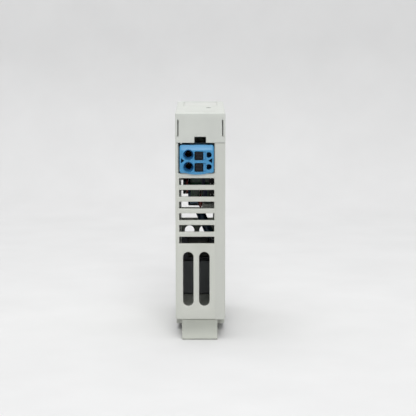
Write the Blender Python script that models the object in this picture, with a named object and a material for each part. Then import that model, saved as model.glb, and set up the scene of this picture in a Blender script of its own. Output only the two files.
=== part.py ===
"""Narrow rail-mounted controller module with a two-pole push-in plug.

X is the width, Y runs between the two end faces (the plug is in the -Y one) and Z goes
from the mounting rail to the front. The origin is the centre of the rail seat. In this
file dimensions are in millimetres and heights are measured up from the lowest point of
the rail hooks. make_object scales them to metres and moves them to the origin.
"""
import math

import bmesh
import bpy
from mathutils import Matrix, Vector

MM = 0.001
GAP = 0.3                     # clearance kept between neighbouring pieces

# Driving dimensions of the module
WIDTH = 22.5
LENGTH = 75.0
HEIGHT = 103.55
WALL = 1.6
COVER_THICKNESS = 1.5
SEAM_Z = 89.95                # where the front cap meets the housing
END_BOTTOM_Z = 9.4            # underside of the two overhanging ends
SEAT_Z = 2.6                  # plane that rests on the rail
RAIL_HALF_WIDTH = 17.5        # half of the standard 35 mm rail
RAIL_SHEET = 1.0

HALF_WIDTH = WIDTH / 2
HALF_LENGTH = LENGTH / 2
SHELL_RIGHT_X = HALF_WIDTH - COVER_THICKNESS - GAP
INNER_LEFT_X = -HALF_WIDTH + WALL
INNER_END_Y = HALF_LENGTH - WALL
FLOOR_Z = END_BOTTOM_Z + WALL
BEYOND = 3.0                  # how far a cutter runs past the face it opens

# Openings in both end walls
WINDOW_X = (-10.04, 6.40)
WINDOW_BOTTOM_Z = 76.4
VENT_X = (-9.58, 6.29)
VENT_TOP_Z = 74.25
VENT_PITCH = 5.34
VENT_HEIGHT = 3.2
VENT_COUNT = 6
SLOT_CENTRES_X = (-5.52, 1.78)
SLOT_WIDTH = 4.72
SLOT_Z = (15.5, 40.5)
FAR_END_RAISE = 0.85          # how much higher the far end's vents and slots sit

# Rail hooks and the sliding latch
HOOK_INNER_Y = RAIL_HALF_WIDTH + 0.25
HOOK_LIP_Y = 15.9
HOOK_LIP_TOP_Z = SEAT_Z - RAIL_SHEET - 0.25
HOOK_OUTER_Y = 20.5
SEAT_HALF_Y = 15.0
SEAT_RELIEF = 0.5
FOOT_X = (-8.45, 7.78)
FOOT_TOP_Z = END_BOTTOM_Z - GAP
BEAM_X = (-6.1, 5.43)
BEAM_Z = (5.2, 8.6)
LATCH_CENTRE_X = (FOOT_X[0] + FOOT_X[1]) / 2
SPRING_POCKET_Y = (-31.0, -23.0)
SPRING_POST_Y = (-30.2, -29.0)

# Plug, its two poles and the socket behind it
PLUG_X = (-9.32, 6.05)
PLUG_Y = (-38.7, -24.0)
PLUG_Z = (76.7, 89.2)
POLE_Z = (84.8, 79.4)
WIRE_X = -5.33
FUNNEL_RADIUS = 2.3
WIRE_RADIUS = 1.45
BUTTON_X = (-2.33, 1.07)
BUTTON_Z = (84.4, 79.2)
BUTTON_HEIGHT = 3.7
BUTTON_BACK_Y = -32.0
BUTTON_TRAVEL = 1.5
CHAMBER_X = (-7.4, 1.2)
CHAMBER_FRONT_Y = -33.0
CHAMBER_HEIGHT = 4.0

# Circuit boards
BOARD_X = (7.4, 9.0)
BOARD_Y = (-33.5, 33.5)
BOARD_Z = (11.6, 88.0)
PART_FACE_X = BOARD_X[0] - GAP     # where components start, clear of the board

# Front of the cap
CAP_WALL = 1.5
CAP_ROOF = 1.8
LED_X = 3.8
LED_Y = -4.5

SEGMENTS = 20                 # sides of a full circle


# ---------------------------------------------------------------- materials
def material(name, colour, roughness, metallic=0.0):
    """A Principled material, made once and shared by name."""
    made = bpy.data.materials.get(name)
    if made is None:
        made = bpy.data.materials.new(name)
        made.use_nodes = True
        shader = made.node_tree.nodes["Principled BSDF"]
        shader.inputs["Base Color"].default_value = (*colour, 1.0)
        shader.inputs["Roughness"].default_value = roughness
        shader.inputs["Metallic"].default_value = metallic
        made.diffuse_color = (*colour, 1.0)
    return made


def housing_plastic():
    return material("housing_plastic", (0.56, 0.57, 0.54), 0.5)


def cap_plastic():
    return material("cap_plastic", (0.62, 0.63, 0.60), 0.45)


def plug_plastic():
    return material("plug_plastic", (0.07, 0.33, 0.66), 0.4)


def dark_plastic():
    return material("dark_plastic", (0.02, 0.02, 0.023), 0.5)


def black_part():
    return material("black_part", (0.01, 0.01, 0.012), 0.45)


def relay_plastic():
    return material("relay_plastic", (0.03, 0.03, 0.033), 0.5)


def board_green():
    return material("board_green", (0.01, 0.06, 0.03), 0.4)


def spring_steel():
    return material("spring_steel", (0.60, 0.60, 0.58), 0.3, 1.0)


def contact_metal():
    return material("contact_metal", (0.75, 0.70, 0.60), 0.3, 1.0)


def navy_sleeve():
    return material("navy_sleeve", (0.01, 0.03, 0.09), 0.35)


def red_coating():
    return material("red_coating", (0.20, 0.02, 0.02), 0.4)


def grey_core():
    return material("grey_core", (0.25, 0.26, 0.25), 0.6)


def light_grey_part():
    return material("light_grey_part", (0.70, 0.71, 0.70), 0.5)


def clear_plastic():
    return material("clear_plastic", (0.30, 0.32, 0.30), 0.15)


# ---------------------------------------------------------------- shapes
def circle(centre, radius, segments=SEGMENTS, start=0.0, sweep=2 * math.pi):
    """Points on a circle, or on an arc of it when sweep is smaller."""
    full = abs(sweep - 2 * math.pi) < 1e-9
    steps = segments if full else segments - 1
    return [
        (centre[0] + radius * math.cos(start + sweep * i / steps),
         centre[1] + radius * math.sin(start + sweep * i / steps))
        for i in range(segments)
    ]


def stadium(centre_x, width, low, high):
    """A slot's outline: straight sides with round ends."""
    radius = width / 2
    half = SEGMENTS // 2
    top = circle((centre_x, high - radius), radius, half, 0.0, math.pi)
    bottom = circle((centre_x, low + radius), radius, half, math.pi, math.pi)
    return top + bottom


def ribbon(path, thickness):
    """The outline of a bent strip that follows an open path."""
    points = [Vector(point) for point in path]
    left = []
    right = []
    for i, point in enumerate(points):
        before = (point - points[i - 1]).normalized() if i > 0 else None
        after = (points[i + 1] - point).normalized() if i < len(points) - 1 else None
        along = (before or after) + (after or before)
        along.normalize()
        normal = Vector((-along.y, along.x))
        reference = before or after
        stretch = 1 / max(0.4, normal.dot(Vector((-reference.y, reference.x))))
        left.append(tuple(point + normal * thickness / 2 * stretch))
        right.append(tuple(point - normal * thickness / 2 * stretch))
    return left + right[::-1]


def add_prism(mesh, outline, axis, start, end):
    """Extrude an outline along an axis. It lies in the other two axes, in XYZ order."""
    place = {
        "X": lambda u, v, w: (w, u, v),
        "Y": lambda u, v, w: (u, w, v),
        "Z": lambda u, v, w: (u, v, w),
    }[axis]
    first = [mesh.verts.new(place(u, v, start)) for u, v in outline]
    last = [mesh.verts.new(place(u, v, end)) for u, v in outline]
    faces = [mesh.faces.new(first), mesh.faces.new(last)]
    for i in range(len(outline)):
        j = (i + 1) % len(outline)
        faces.append(mesh.faces.new((first[i], first[j], last[j], last[i])))
    bmesh.ops.recalc_face_normals(mesh, faces=faces)


def add_box(mesh, x, y, z):
    outline = [(x[0], y[0]), (x[1], y[0]), (x[1], y[1]), (x[0], y[1])]
    add_prism(mesh, outline, "Z", z[0], z[1])


def add_turned(mesh, profile, centre, axis, segments=SEGMENTS):
    """Turn a profile of (radius, height) points, closed by a flat disc at each end."""
    turn = {
        "X": Matrix(((0, 0, 1), (1, 0, 0), (0, 1, 0))),
        "Y": Matrix(((0, 1, 0), (0, 0, 1), (1, 0, 0))),
        "Z": Matrix.Identity(3),
    }[axis]
    rings = []
    for radius, height in profile:
        rings.append([
            mesh.verts.new(Vector(centre) + turn @ Vector((u, v, height)))
            for u, v in circle((0, 0), radius, segments)
        ])
    faces = [mesh.faces.new(rings[0]), mesh.faces.new(rings[-1])]
    for below, above in zip(rings, rings[1:]):
        for i in range(segments):
            j = (i + 1) % segments
            faces.append(mesh.faces.new((below[i], below[j], above[j], above[i])))
    bmesh.ops.recalc_face_normals(mesh, faces=faces)


def add_coil(mesh, centre, radius, wire_radius, start, end, turns):
    """A compression spring along Y, from start to end."""
    steps_per_turn = 14
    sides = 6
    steps = turns * steps_per_turn
    rings = []
    for step in range(steps + 1):
        angle = 2 * math.pi * step / steps_per_turn
        travel = start + wire_radius + (end - start - 2 * wire_radius) * step / steps
        outward = Vector((math.cos(angle), 0, math.sin(angle)))
        middle = Vector((centre[0], travel, centre[1])) + outward * radius
        rings.append([
            mesh.verts.new(middle + wire_radius * (outward * math.cos(a) + Vector((0, math.sin(a), 0))))
            for a in (2 * math.pi * side / sides for side in range(sides))
        ])
    faces = [mesh.faces.new(rings[0]), mesh.faces.new(rings[-1])]
    for below, above in zip(rings, rings[1:]):
        for i in range(sides):
            j = (i + 1) % sides
            faces.append(mesh.faces.new((below[i], below[j], above[j], above[i])))
    bmesh.ops.recalc_face_normals(mesh, faces=faces)


# ---------------------------------------------------------------- objects
def make_object(name, mesh, finish=None, pivot=(0.0, 0.0, SEAT_Z)):
    """Turn a mesh in millimetres into an object whose own origin is at the pivot."""
    shift = Matrix.Translation(-Vector(pivot))
    bmesh.ops.transform(mesh, matrix=Matrix.Scale(MM, 4) @ shift, verts=mesh.verts)
    data = bpy.data.meshes.new(name)
    mesh.to_mesh(data)
    mesh.free()
    made = bpy.data.objects.new(name, data)
    made.location = (Vector(pivot) - Vector((0.0, 0.0, SEAT_Z))) * MM
    bpy.context.collection.objects.link(made)
    if finish is not None:
        data.materials.append(finish)
    return made


def smooth(piece, degrees=35):
    piece.data.shade_smooth()
    piece.data.set_sharp_from_angle(angle=math.radians(degrees))


def combine(piece, mesh, operation):
    """Cut a mesh from a piece, or join it to the piece, through a Boolean modifier."""
    tool = make_object(f"{piece.name}_{operation.lower()}_{len(piece.modifiers)}", mesh)
    tool.hide_render = True
    tool.display_type = "WIRE"
    modifier = piece.modifiers.new(operation.title(), "BOOLEAN")
    modifier.operation = operation
    modifier.solver = "EXACT"
    modifier.object = tool


def cut(piece, mesh):
    combine(piece, mesh, "DIFFERENCE")


def join(piece, mesh):
    combine(piece, mesh, "UNION")


# ---------------------------------------------------------------- housing
def body_outline(with_hook):
    """Side view of the housing, as (Y, Z) points: overhanging ends, rail seat, hook."""
    seat = [
        (-HOOK_INNER_Y + 0.5, END_BOTTOM_Z),
        (-HOOK_INNER_Y + 0.5, SEAT_Z + SEAT_RELIEF),
        (-SEAT_HALF_Y, SEAT_Z + SEAT_RELIEF),
        (-SEAT_HALF_Y, SEAT_Z),
        (SEAT_HALF_Y, SEAT_Z),
        (SEAT_HALF_Y, SEAT_Z + SEAT_RELIEF),
        (HOOK_INNER_Y, SEAT_Z + SEAT_RELIEF),
    ]
    hook = [
        (HOOK_INNER_Y, HOOK_LIP_TOP_Z),
        (HOOK_LIP_Y, HOOK_LIP_TOP_Z),
        (HOOK_LIP_Y, 0.0),
        (HOOK_OUTER_Y, 0.0),
        (HOOK_OUTER_Y, END_BOTTOM_Z),
    ]
    plain_end = [(HOOK_INNER_Y, END_BOTTOM_Z)]
    return (
        [(-HALF_LENGTH, END_BOTTOM_Z)]
        + seat
        + (hook if with_hook else plain_end)
        + [
            (HALF_LENGTH, END_BOTTOM_Z),
            (HALF_LENGTH, SEAM_Z),
            (-HALF_LENGTH, SEAM_Z),
        ]
    )


def make_housing_shell():
    """Left wall, both end walls and the base in one moulding, open to the right and top."""
    mesh = bmesh.new()
    add_prism(mesh, body_outline(True), "X", -HALF_WIDTH, SHELL_RIGHT_X)
    shell = make_object("housing_shell", mesh, housing_plastic())

    cavity = bmesh.new()
    add_box(cavity, (INNER_LEFT_X, HALF_WIDTH), (-INNER_END_Y, INNER_END_Y),
            (FLOOR_Z, SEAM_Z + BEYOND))
    cut(shell, cavity)

    openings = bmesh.new()
    for side in (-1, 1):
        ends = sorted((side * (INNER_END_Y - 1.0), side * (HALF_LENGTH + BEYOND)))
        add_box(openings, WINDOW_X, ends, (WINDOW_BOTTOM_Z, SEAM_Z + BEYOND))
        lift = FAR_END_RAISE if side > 0 else 0.0
        for i in range(VENT_COUNT):
            top = VENT_TOP_Z + lift - i * VENT_PITCH
            add_box(openings, VENT_X, ends, (top - VENT_HEIGHT, top))
        for centre in SLOT_CENTRES_X:
            outline = stadium(centre, SLOT_WIDTH, SLOT_Z[0] + lift, SLOT_Z[1] + lift)
            add_prism(openings, outline, "Y", *ends)
    for x in ((-9.65, -0.7), (0.7, 7.85)):
        for centre_y in (-9.7, 0.0, 9.7):
            add_box(openings, x, (centre_y - 4.2, centre_y + 4.2),
                    (SEAT_Z - BEYOND, END_BOTTOM_Z))
    cut(shell, openings)

    contact_hole = bmesh.new()
    add_box(contact_hole, (4.9, 7.1), (-2.3, 2.3), (END_BOTTOM_Z - 1, FLOOR_Z + 1))
    cut(shell, contact_hole)

    ribs = bmesh.new()
    guide_y = (-33.4, -24.0)
    for side in (-1, 1):
        edge = BEAM_X[0] if side < 0 else BEAM_X[1]
        inner = edge + side * GAP
        outer = inner + side * 1.2
        lip = edge - side * 1.1
        add_prism(ribs, [
            (inner, END_BOTTOM_Z + 0.6), (outer, END_BOTTOM_Z + 0.6),
            (outer, 3.7), (lip, 3.7), (lip, 4.9), (inner, 4.9),
        ], "Y", *guide_y)
    add_box(ribs, (-1.8, 1.2), SPRING_POST_Y, (5.4, END_BOTTOM_Z + 0.6))
    for side in (-1, 1):
        rib_y = sorted((side * 33.8, side * (INNER_END_Y + 0.6)))
        add_box(ribs, (6.4, 7.1), rib_y, (14.0, 74.0))
    join(shell, ribs)
    return shell


def make_side_cover():
    """Flat right-hand cover with four tabs that hold the circuit board's edge."""
    mesh = bmesh.new()
    add_prism(mesh, body_outline(False), "X", HALF_WIDTH - COVER_THICKNESS, HALF_WIDTH)
    cover = make_object("side_cover", mesh, housing_plastic())
    tabs = bmesh.new()
    for side in (-1, 1):
        tab_y = sorted((side * 34.0, side * (INNER_END_Y - GAP)))
        for low in (20.0, 60.0):
            add_box(tabs, (7.6, HALF_WIDTH - 0.8), tab_y, (low, low + 8.0))
    join(cover, tabs)


def make_window_blank():
    """Snap-in plate that closes the unused plug window in the far end wall."""
    mesh = bmesh.new()
    low = WINDOW_BOTTOM_Z + GAP
    add_box(mesh, (WINDOW_X[0] + GAP, WINDOW_X[1] - GAP), (INNER_END_Y - 0.6, HALF_LENGTH),
            (low, SEAM_Z - 0.1))
    blank = make_object("window_blank", mesh, housing_plastic())
    flange = bmesh.new()
    add_box(flange, (INNER_LEFT_X + GAP, 7.0), (34.2, INNER_END_Y - GAP),
            (low - 1.8, SEAM_Z - 0.6))
    join(blank, flange)


def make_front_cap():
    """Box-shaped front cover with release notches and side snap slits at both ends."""
    bottom = SEAM_Z + GAP
    mesh = bmesh.new()
    add_box(mesh, (-HALF_WIDTH, HALF_WIDTH), (-HALF_LENGTH, HALF_LENGTH), (bottom, HEIGHT))
    cap = make_object("front_cap", mesh, cap_plastic())

    hollow = bmesh.new()
    add_box(hollow, (-HALF_WIDTH + CAP_WALL, HALF_WIDTH - CAP_WALL),
            (-HALF_LENGTH + CAP_WALL, HALF_LENGTH - CAP_WALL),
            (bottom - BEYOND, HEIGHT - CAP_ROOF))
    cut(cap, hollow)

    through = (-HALF_LENGTH - BEYOND, HALF_LENGTH + BEYOND)
    details = bmesh.new()
    add_box(details, (-2.69, 2.55), through, (bottom - BEYOND, 92.9))
    for centre in (-10.1, 10.05):
        for side in (-1, 1):
            slit_y = sorted((side * (HALF_LENGTH - 1.0), side * (HALF_LENGTH + BEYOND)))
            add_box(details, (centre - 0.35, centre + 0.35), slit_y, (92.9, 100.7))
    add_prism(details, circle((LED_X, LED_Y), 1.0, 12), "Z", HEIGHT - CAP_ROOF - 1, HEIGHT + 1)
    add_box(details, (-8.3, 8.3), (7.7, 34.3), (HEIGHT - 0.8, HEIGHT + 1))
    cut(cap, details)

    snap_arms = bmesh.new()
    for arm_y in ((-16.0, -8.0), (12.0, 20.0)):
        add_prism(snap_arms, [
            (INNER_LEFT_X + GAP, 84.0), (INNER_LEFT_X + GAP + 1.2, 84.0),
            (INNER_LEFT_X + GAP + 1.2, 92.0), (-HALF_WIDTH + 1.0, 92.0),
            (-HALF_WIDTH + 1.0, 90.6), (INNER_LEFT_X + GAP, 90.6),
        ], "Y", *arm_y)
    join(cap, snap_arms)


def make_marker_strip():
    mesh = bmesh.new()
    add_box(mesh, (-8.0, 8.0), (8.0, 34.0), (HEIGHT - 0.5, HEIGHT - 0.05))
    make_object("marker_strip", mesh, light_grey_part())


def make_light_pipe():
    """Clear rod that carries the status light to the front."""
    mesh = bmesh.new()
    add_turned(mesh, [(0.7, 91.0), (0.7, HEIGHT - 0.4), (0.45, HEIGHT - 0.1)],
               (LED_X, LED_Y, 0.0), "Z", 12)
    smooth(make_object("light_pipe", mesh, clear_plastic()))


# ---------------------------------------------------------------- rail latch
def foot_outline():
    """Finger scoop of the latch, as (Y, Z) points: hollow towards the outside."""
    hollow_y = -35.7
    hollow_z = 6.4
    upper = [
        (hollow_y - 1.1 * (step / 3) ** 2, hollow_z + (FOOT_TOP_Z - hollow_z) * step / 3)
        for step in (3, 2, 1)
    ]
    lower = [
        (hollow_y - 2.5 * (step / 6) ** 2, hollow_z - (hollow_z - 0.8) * step / 6)
        for step in range(7)
    ]
    return upper + lower + [(-37.9, 0.2), (-37.5, 0.0), (-35.4, 0.0), (-34.0, 1.2), (-34.0, FOOT_TOP_Z)]


def make_rail_latch():
    """Sliding foot: outer finger scoop, beam under the housing, inner hook for the rail."""
    mesh = bmesh.new()
    add_prism(mesh, foot_outline(), "X", *FOOT_X)
    latch = make_object("rail_latch", mesh, housing_plastic(), (LATCH_CENTRE_X, -34.0, BEAM_Z[0]))

    beam = bmesh.new()
    add_box(beam, BEAM_X, (-34.6, -18.0), BEAM_Z)
    join(latch, beam)

    hook = bmesh.new()
    add_prism(hook, [
        (-20.2, BEAM_Z[1]), (-20.2, 0.0), (-HOOK_LIP_Y, 0.0), (-HOOK_LIP_Y, HOOK_LIP_TOP_Z - 0.4),
        (-HOOK_LIP_Y - 0.4, HOOK_LIP_TOP_Z), (-HOOK_INNER_Y, HOOK_LIP_TOP_Z), (-HOOK_INNER_Y, BEAM_Z[1]),
    ], "X", LATCH_CENTRE_X - 7.5, LATCH_CENTRE_X + 7.5)
    join(latch, hook)

    pockets = bmesh.new()
    add_box(pockets, (-2.8, 2.2), SPRING_POCKET_Y, (BEAM_Z[0] - 1, BEAM_Z[1] + 1))
    add_box(pockets, (-3.94, -0.24), (-39.0, -34.9), (6.5, 8.0))
    cut(latch, pockets)


def make_latch_spring():
    mesh = bmesh.new()
    add_coil(mesh, (-0.3, 6.9), 1.35, 0.22, SPRING_POST_Y[1] + 0.15, SPRING_POCKET_Y[1] - 0.15, 5)
    smooth(make_object("latch_spring", mesh, spring_steel()), 60)


def make_earth_contact():
    """Bent strip that joins the circuit board to the rail under the seat."""
    path = [(2.8, 2.95), (6.0, 2.95), (6.0, 20.0)]
    mesh = bmesh.new()
    add_prism(mesh, ribbon(path, 0.4), "Y", -2.0, 2.0)
    make_object("earth_contact", mesh, contact_metal())


# ---------------------------------------------------------------- plug
def make_plug_housing():
    """Blue two-pole plug body with wire funnels, button slots, test holes and pockets."""
    mesh = bmesh.new()
    add_box(mesh, PLUG_X, PLUG_Y, PLUG_Z)
    plug = make_object("plug_housing", mesh, plug_plastic(), (0.0, PLUG_Y[0], sum(PLUG_Z) / 2))

    chambers = bmesh.new()
    for centre in POLE_Z:
        add_box(chambers, CHAMBER_X, (CHAMBER_FRONT_Y, PLUG_Y[1] + 1),
                (centre - CHAMBER_HEIGHT / 2, centre + CHAMBER_HEIGHT / 2))
    cut(plug, chambers)

    front = bmesh.new()
    face = PLUG_Y[0]
    for centre in POLE_Z:
        profile = [
            (FUNNEL_RADIUS, face - 1), (FUNNEL_RADIUS, face + 0.4),
            (WIRE_RADIUS, face + 3.2), (WIRE_RADIUS, CHAMBER_FRONT_Y + 1),
        ]
        add_turned(front, profile, (WIRE_X, 0.0, centre), "Y", 16)
        test_hole = circle((3.3, centre - 0.05), 1.2, 8, -math.pi / 2, math.pi)
        add_prism(front, test_hole, "Y", face - 1, face + 5)
    for centre in BUTTON_Z:
        half = BUTTON_HEIGHT / 2 + 0.25
        add_box(front, (BUTTON_X[0] - GAP, BUTTON_X[1] + GAP),
                (face - 1, BUTTON_BACK_Y + BUTTON_TRAVEL + GAP), (centre - half, centre + half))
    add_prism(front, [(-8.6, 81.3), (-7.75, 82.1), (-8.6, 82.9)], "Y", face - 1, face + 2)
    add_prism(front, [(5.3, 81.1), (5.3, 83.1), (3.5, 82.1)], "Y", face - 1, face + 2)
    cut(plug, front)


def make_button(name, centre):
    """Release button beside a wire hole. It pushes straight in."""
    mesh = bmesh.new()
    half = BUTTON_HEIGHT / 2
    add_prism(mesh, [
        (PLUG_Y[0] + 0.3, centre - half + 0.3), (PLUG_Y[0] + 0.3, centre + half - 0.3),
        (PLUG_Y[0] + 0.6, centre + half), (BUTTON_BACK_Y, centre + half),
        (BUTTON_BACK_Y, centre - half), (PLUG_Y[0] + 0.6, centre - half),
    ], "X", *BUTTON_X)
    make_object(name, mesh, dark_plastic(), (sum(BUTTON_X) / 2, PLUG_Y[0] + 0.3, centre))


def make_clamp_spring(name, centre):
    """Bent clamp spring in a pole's chamber."""
    mesh = bmesh.new()
    bend_y = -27.8
    arm = 2.1
    curve = circle((-1.4, bend_y), arm, 8, -math.pi / 2, math.pi)
    path = [(-3.6, bend_y - arm)] + curve + [(-3.6, bend_y + arm)]
    add_prism(mesh, ribbon(path, 0.35), "Z", centre - 1.3, centre + 1.3)
    make_object(name, mesh, spring_steel())


def make_plug_contact(name, centre):
    """U-shaped contact in a pole's chamber, open around the header pin."""
    mesh = bmesh.new()
    add_prism(mesh, [
        (-7.1, centre - 1.5), (-4.2, centre - 1.5), (-4.2, centre - 1.0), (-6.5, centre - 1.0),
        (-6.5, centre + 1.0), (-4.2, centre + 1.0), (-4.2, centre + 1.5), (-7.1, centre + 1.5),
    ], "Y", -32.2, -24.6)
    make_object(name, mesh, contact_metal())


def make_header_pin(name, centre):
    """Square pin that leaves the header block at the back and turns to the board."""
    mesh = bmesh.new()
    path = [(WIRE_X, -28.5), (WIRE_X, -18.2), (PART_FACE_X, -18.2)]
    add_prism(mesh, ribbon(path, 0.9), "Z", centre - 0.45, centre + 0.45)
    make_object(name, mesh, contact_metal())


def make_header_block():
    """Board-side socket block behind the plug."""
    mesh = bmesh.new()
    add_box(mesh, (-8.9, PART_FACE_X), (PLUG_Y[1] + GAP, -19.2), (76.9, 89.0))
    block = make_object("header_block", mesh, light_grey_part())
    holes = bmesh.new()
    for centre in POLE_Z:
        add_box(holes, (WIRE_X - 0.8, WIRE_X + 0.8), (PLUG_Y[1], -19.0), (centre - 0.8, centre + 0.8))
    cut(block, holes)


# ---------------------------------------------------------------- electronics
def make_box_part(name, x, y, z, finish):
    mesh = bmesh.new()
    add_box(mesh, x, y, z)
    make_object(name, mesh, finish)


def make_boards():
    make_box_part("main_board", BOARD_X, BOARD_Y, BOARD_Z, board_green())
    make_box_part("interface_board", (-4.6, PART_FACE_X), (-14.8, -13.2), (61.6, 86.0), board_green())


def make_board_connector():
    """Pin strip that joins the two boards, with its pin ends towards the plug."""
    mesh = bmesh.new()
    add_box(mesh, (3.9, PART_FACE_X), (-17.3, -15.1), (62.9, 77.9))
    connector = make_object("board_connector", mesh, black_part())
    pins = bmesh.new()
    for row in range(6):
        for x in (4.7, 6.2):
            z = 64.2 + row * 2.54
            add_box(pins, (x - 0.25, x + 0.25), (-17.7, -17.0), (z - 0.25, z + 0.25))
    join(connector, pins)


def make_relay_and_transformer():
    block_x = (-9.2, PART_FACE_X)
    block_y = (10.5, 24.0)
    make_box_part("output_relay", block_x, block_y, (11.4, 28.0), relay_plastic())
    mesh = bmesh.new()
    add_box(mesh, block_x, block_y, (28.3, 39.9))
    transformer = make_object("power_transformer", mesh, black_part())
    groove = bmesh.new()
    add_box(groove, (-6.4, 4.3), (14.0, 20.5), (38.9, 41.0))
    cut(transformer, groove)


def make_capacitors():
    mesh = bmesh.new()
    profile = [(5.9, -5.8), (6.4, -5.3), (6.4, 4.9), (6.0, 5.3), (6.0, 5.7), (6.4, 6.1), (6.4, PART_FACE_X)]
    add_turned(mesh, profile, (0.0, -1.5, 63.2), "X")
    smooth(make_object("bulk_capacitor", mesh, navy_sleeve()))

    mesh = bmesh.new()
    add_turned(mesh, [(1.8, 0.0), (2.1, 0.3), (2.1, 13.2), (1.8, 13.5)], (0.0, 0.0, 0.0), "Z", 16)
    low_end = Vector((5.2, 3.5, 40.9))
    lean = Matrix.Rotation(math.radians(-24), 4, "Y")
    bmesh.ops.transform(mesh, matrix=Matrix.Translation(low_end) @ lean, verts=mesh.verts)
    smooth(make_object("leaning_capacitor", mesh, navy_sleeve()))

    mesh = bmesh.new()
    add_turned(mesh, [(3.4, -8.0), (3.9, -7.7), (3.9, -5.8), (3.4, -5.5)], (0.0, -21.0, 68.9), "X")
    varistor = make_object("varistor", mesh, red_coating())
    leads = bmesh.new()
    for y in (-23.2, -18.9):
        add_box(leads, (-6.4, PART_FACE_X), (y - 0.25, y + 0.25), (67.6, 68.1))
    join(varistor, leads)
    smooth(varistor)

    mesh = bmesh.new()
    drop = [(0.3, 57.3), (0.9, 57.9), (1.15, 59.2), (1.1, 61.0), (0.8, 62.8), (0.3, 64.3)]
    add_turned(mesh, drop, (0.05, -17.0, 0.0), "Z", 14)
    smooth(make_object("dipped_capacitor", mesh, red_coating()))


def make_input_choke():
    mesh = bmesh.new()
    low, high = 56.6, 61.1
    add_box(mesh, (0.8, PART_FACE_X), (-24.0, -18.5), (low, high))
    choke = make_object("input_choke", mesh, grey_core())
    waist = bmesh.new()
    for edge in (low, high):
        add_box(waist, (2.2, 5.7), (-25.0, -17.5), (edge - 0.4, edge + 0.4))
    cut(choke, waist)


def make_small_parts():
    chip_x = (5.6, PART_FACE_X)
    make_box_part("microcontroller", chip_x, (10.0, 20.0), (58.0, 68.0), black_part())
    make_box_part("memory_chip", chip_x, (8.0, 12.0), (74.0, 84.0), black_part())
    make_box_part("bus_driver_chip", chip_x, (26.0, 30.0), (50.0, 60.0), black_part())
    make_box_part("regulator_chip", chip_x, (-32.0, -28.0), (30.0, 40.0), black_part())

    mesh = bmesh.new()
    fuse = [(1.7, 73.0), (1.7, 75.0), (1.45, 75.2), (1.45, 82.8), (1.7, 83.0), (1.7, 85.0)]
    add_turned(mesh, fuse, (5.2, -10.7, 0.0), "Z", 14)
    smooth(make_object("input_fuse", mesh, light_grey_part()))

    mesh = bmesh.new()
    led = [(1.6, 84.0), (1.6, 84.7), (1.4, 84.8), (1.4, 87.4), (1.1, 88.3), (0.5, 88.8)]
    add_turned(mesh, led, (LED_X, LED_Y, 0.0), "Z", 14)
    light = make_object("status_led", mesh, clear_plastic())
    leads = bmesh.new()
    for y in (LED_Y - 0.9, LED_Y + 0.9):
        path = [(LED_X, 84.4), (LED_X, 82.5), (PART_FACE_X, 82.5)]
        add_prism(leads, ribbon(path, 0.4), "Y", y - 0.2, y + 0.2)
    join(light, leads)
    smooth(light)


def main():
    for old in list(bpy.data.objects):
        bpy.data.objects.remove(old, do_unlink=True)
    make_housing_shell()
    make_side_cover()
    make_window_blank()
    make_front_cap()
    make_marker_strip()
    make_light_pipe()
    make_rail_latch()
    make_latch_spring()
    make_earth_contact()
    make_plug_housing()
    for place, pole, button in zip(("upper", "lower"), POLE_Z, BUTTON_Z):
        make_button(f"{place}_button", button)
        make_clamp_spring(f"{place}_clamp_spring", pole)
        make_plug_contact(f"{place}_contact", pole)
        make_header_pin(f"{place}_header_pin", pole)
    make_header_block()
    make_boards()
    make_board_connector()
    make_relay_and_transformer()
    make_capacitors()
    make_input_choke()
    make_small_parts()


main()
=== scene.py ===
"""Looks of a narrow rail-mounted controller module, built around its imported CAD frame.

Meshes are made in millimetres in the frame's own axes: X is the width, Y runs between the
two end faces (the plug is in the -Y one) and Z goes from the rail seat to the front cap.
finish_piece scales each one to metres.
"""
import math
import random

import bmesh
import bpy
from mathutils import Matrix, Vector


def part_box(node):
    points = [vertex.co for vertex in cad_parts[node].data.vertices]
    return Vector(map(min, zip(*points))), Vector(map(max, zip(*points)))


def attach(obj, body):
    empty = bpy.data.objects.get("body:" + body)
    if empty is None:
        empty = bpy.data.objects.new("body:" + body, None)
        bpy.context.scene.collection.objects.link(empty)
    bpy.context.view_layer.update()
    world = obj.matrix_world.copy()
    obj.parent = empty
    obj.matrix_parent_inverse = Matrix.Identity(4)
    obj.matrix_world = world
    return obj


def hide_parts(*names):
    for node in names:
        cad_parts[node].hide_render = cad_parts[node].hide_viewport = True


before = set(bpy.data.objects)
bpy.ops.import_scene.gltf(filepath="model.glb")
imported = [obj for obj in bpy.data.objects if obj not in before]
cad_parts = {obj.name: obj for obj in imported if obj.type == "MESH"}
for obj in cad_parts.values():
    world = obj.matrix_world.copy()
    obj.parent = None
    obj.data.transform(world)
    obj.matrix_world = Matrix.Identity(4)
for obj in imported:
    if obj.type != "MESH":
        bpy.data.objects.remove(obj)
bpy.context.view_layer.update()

MM = 0.001


def span(node):
    """A CAD node's extents in millimetres: ((x0, x1), (y0, y1), (z0, z1))."""
    low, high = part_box(node)
    return tuple((low[i] / MM, high[i] / MM) for i in range(3))


CAP_X, CAP_Y, CAP_Z = span("front_cap")
PLUG_X, PLUG_Y, PLUG_Z = span("plug_housing")
FOOT_X = span("rail_latch")[0]
BOARD_FACE = span("main_board")[0][0]               # component side of the main board
INTERFACE_FACE = span("interface_board")[1][0]      # side of the upright board towards the plug
LOWEST_Z, SHELL_RIM_Z = span("housing_shell")[2]

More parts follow.
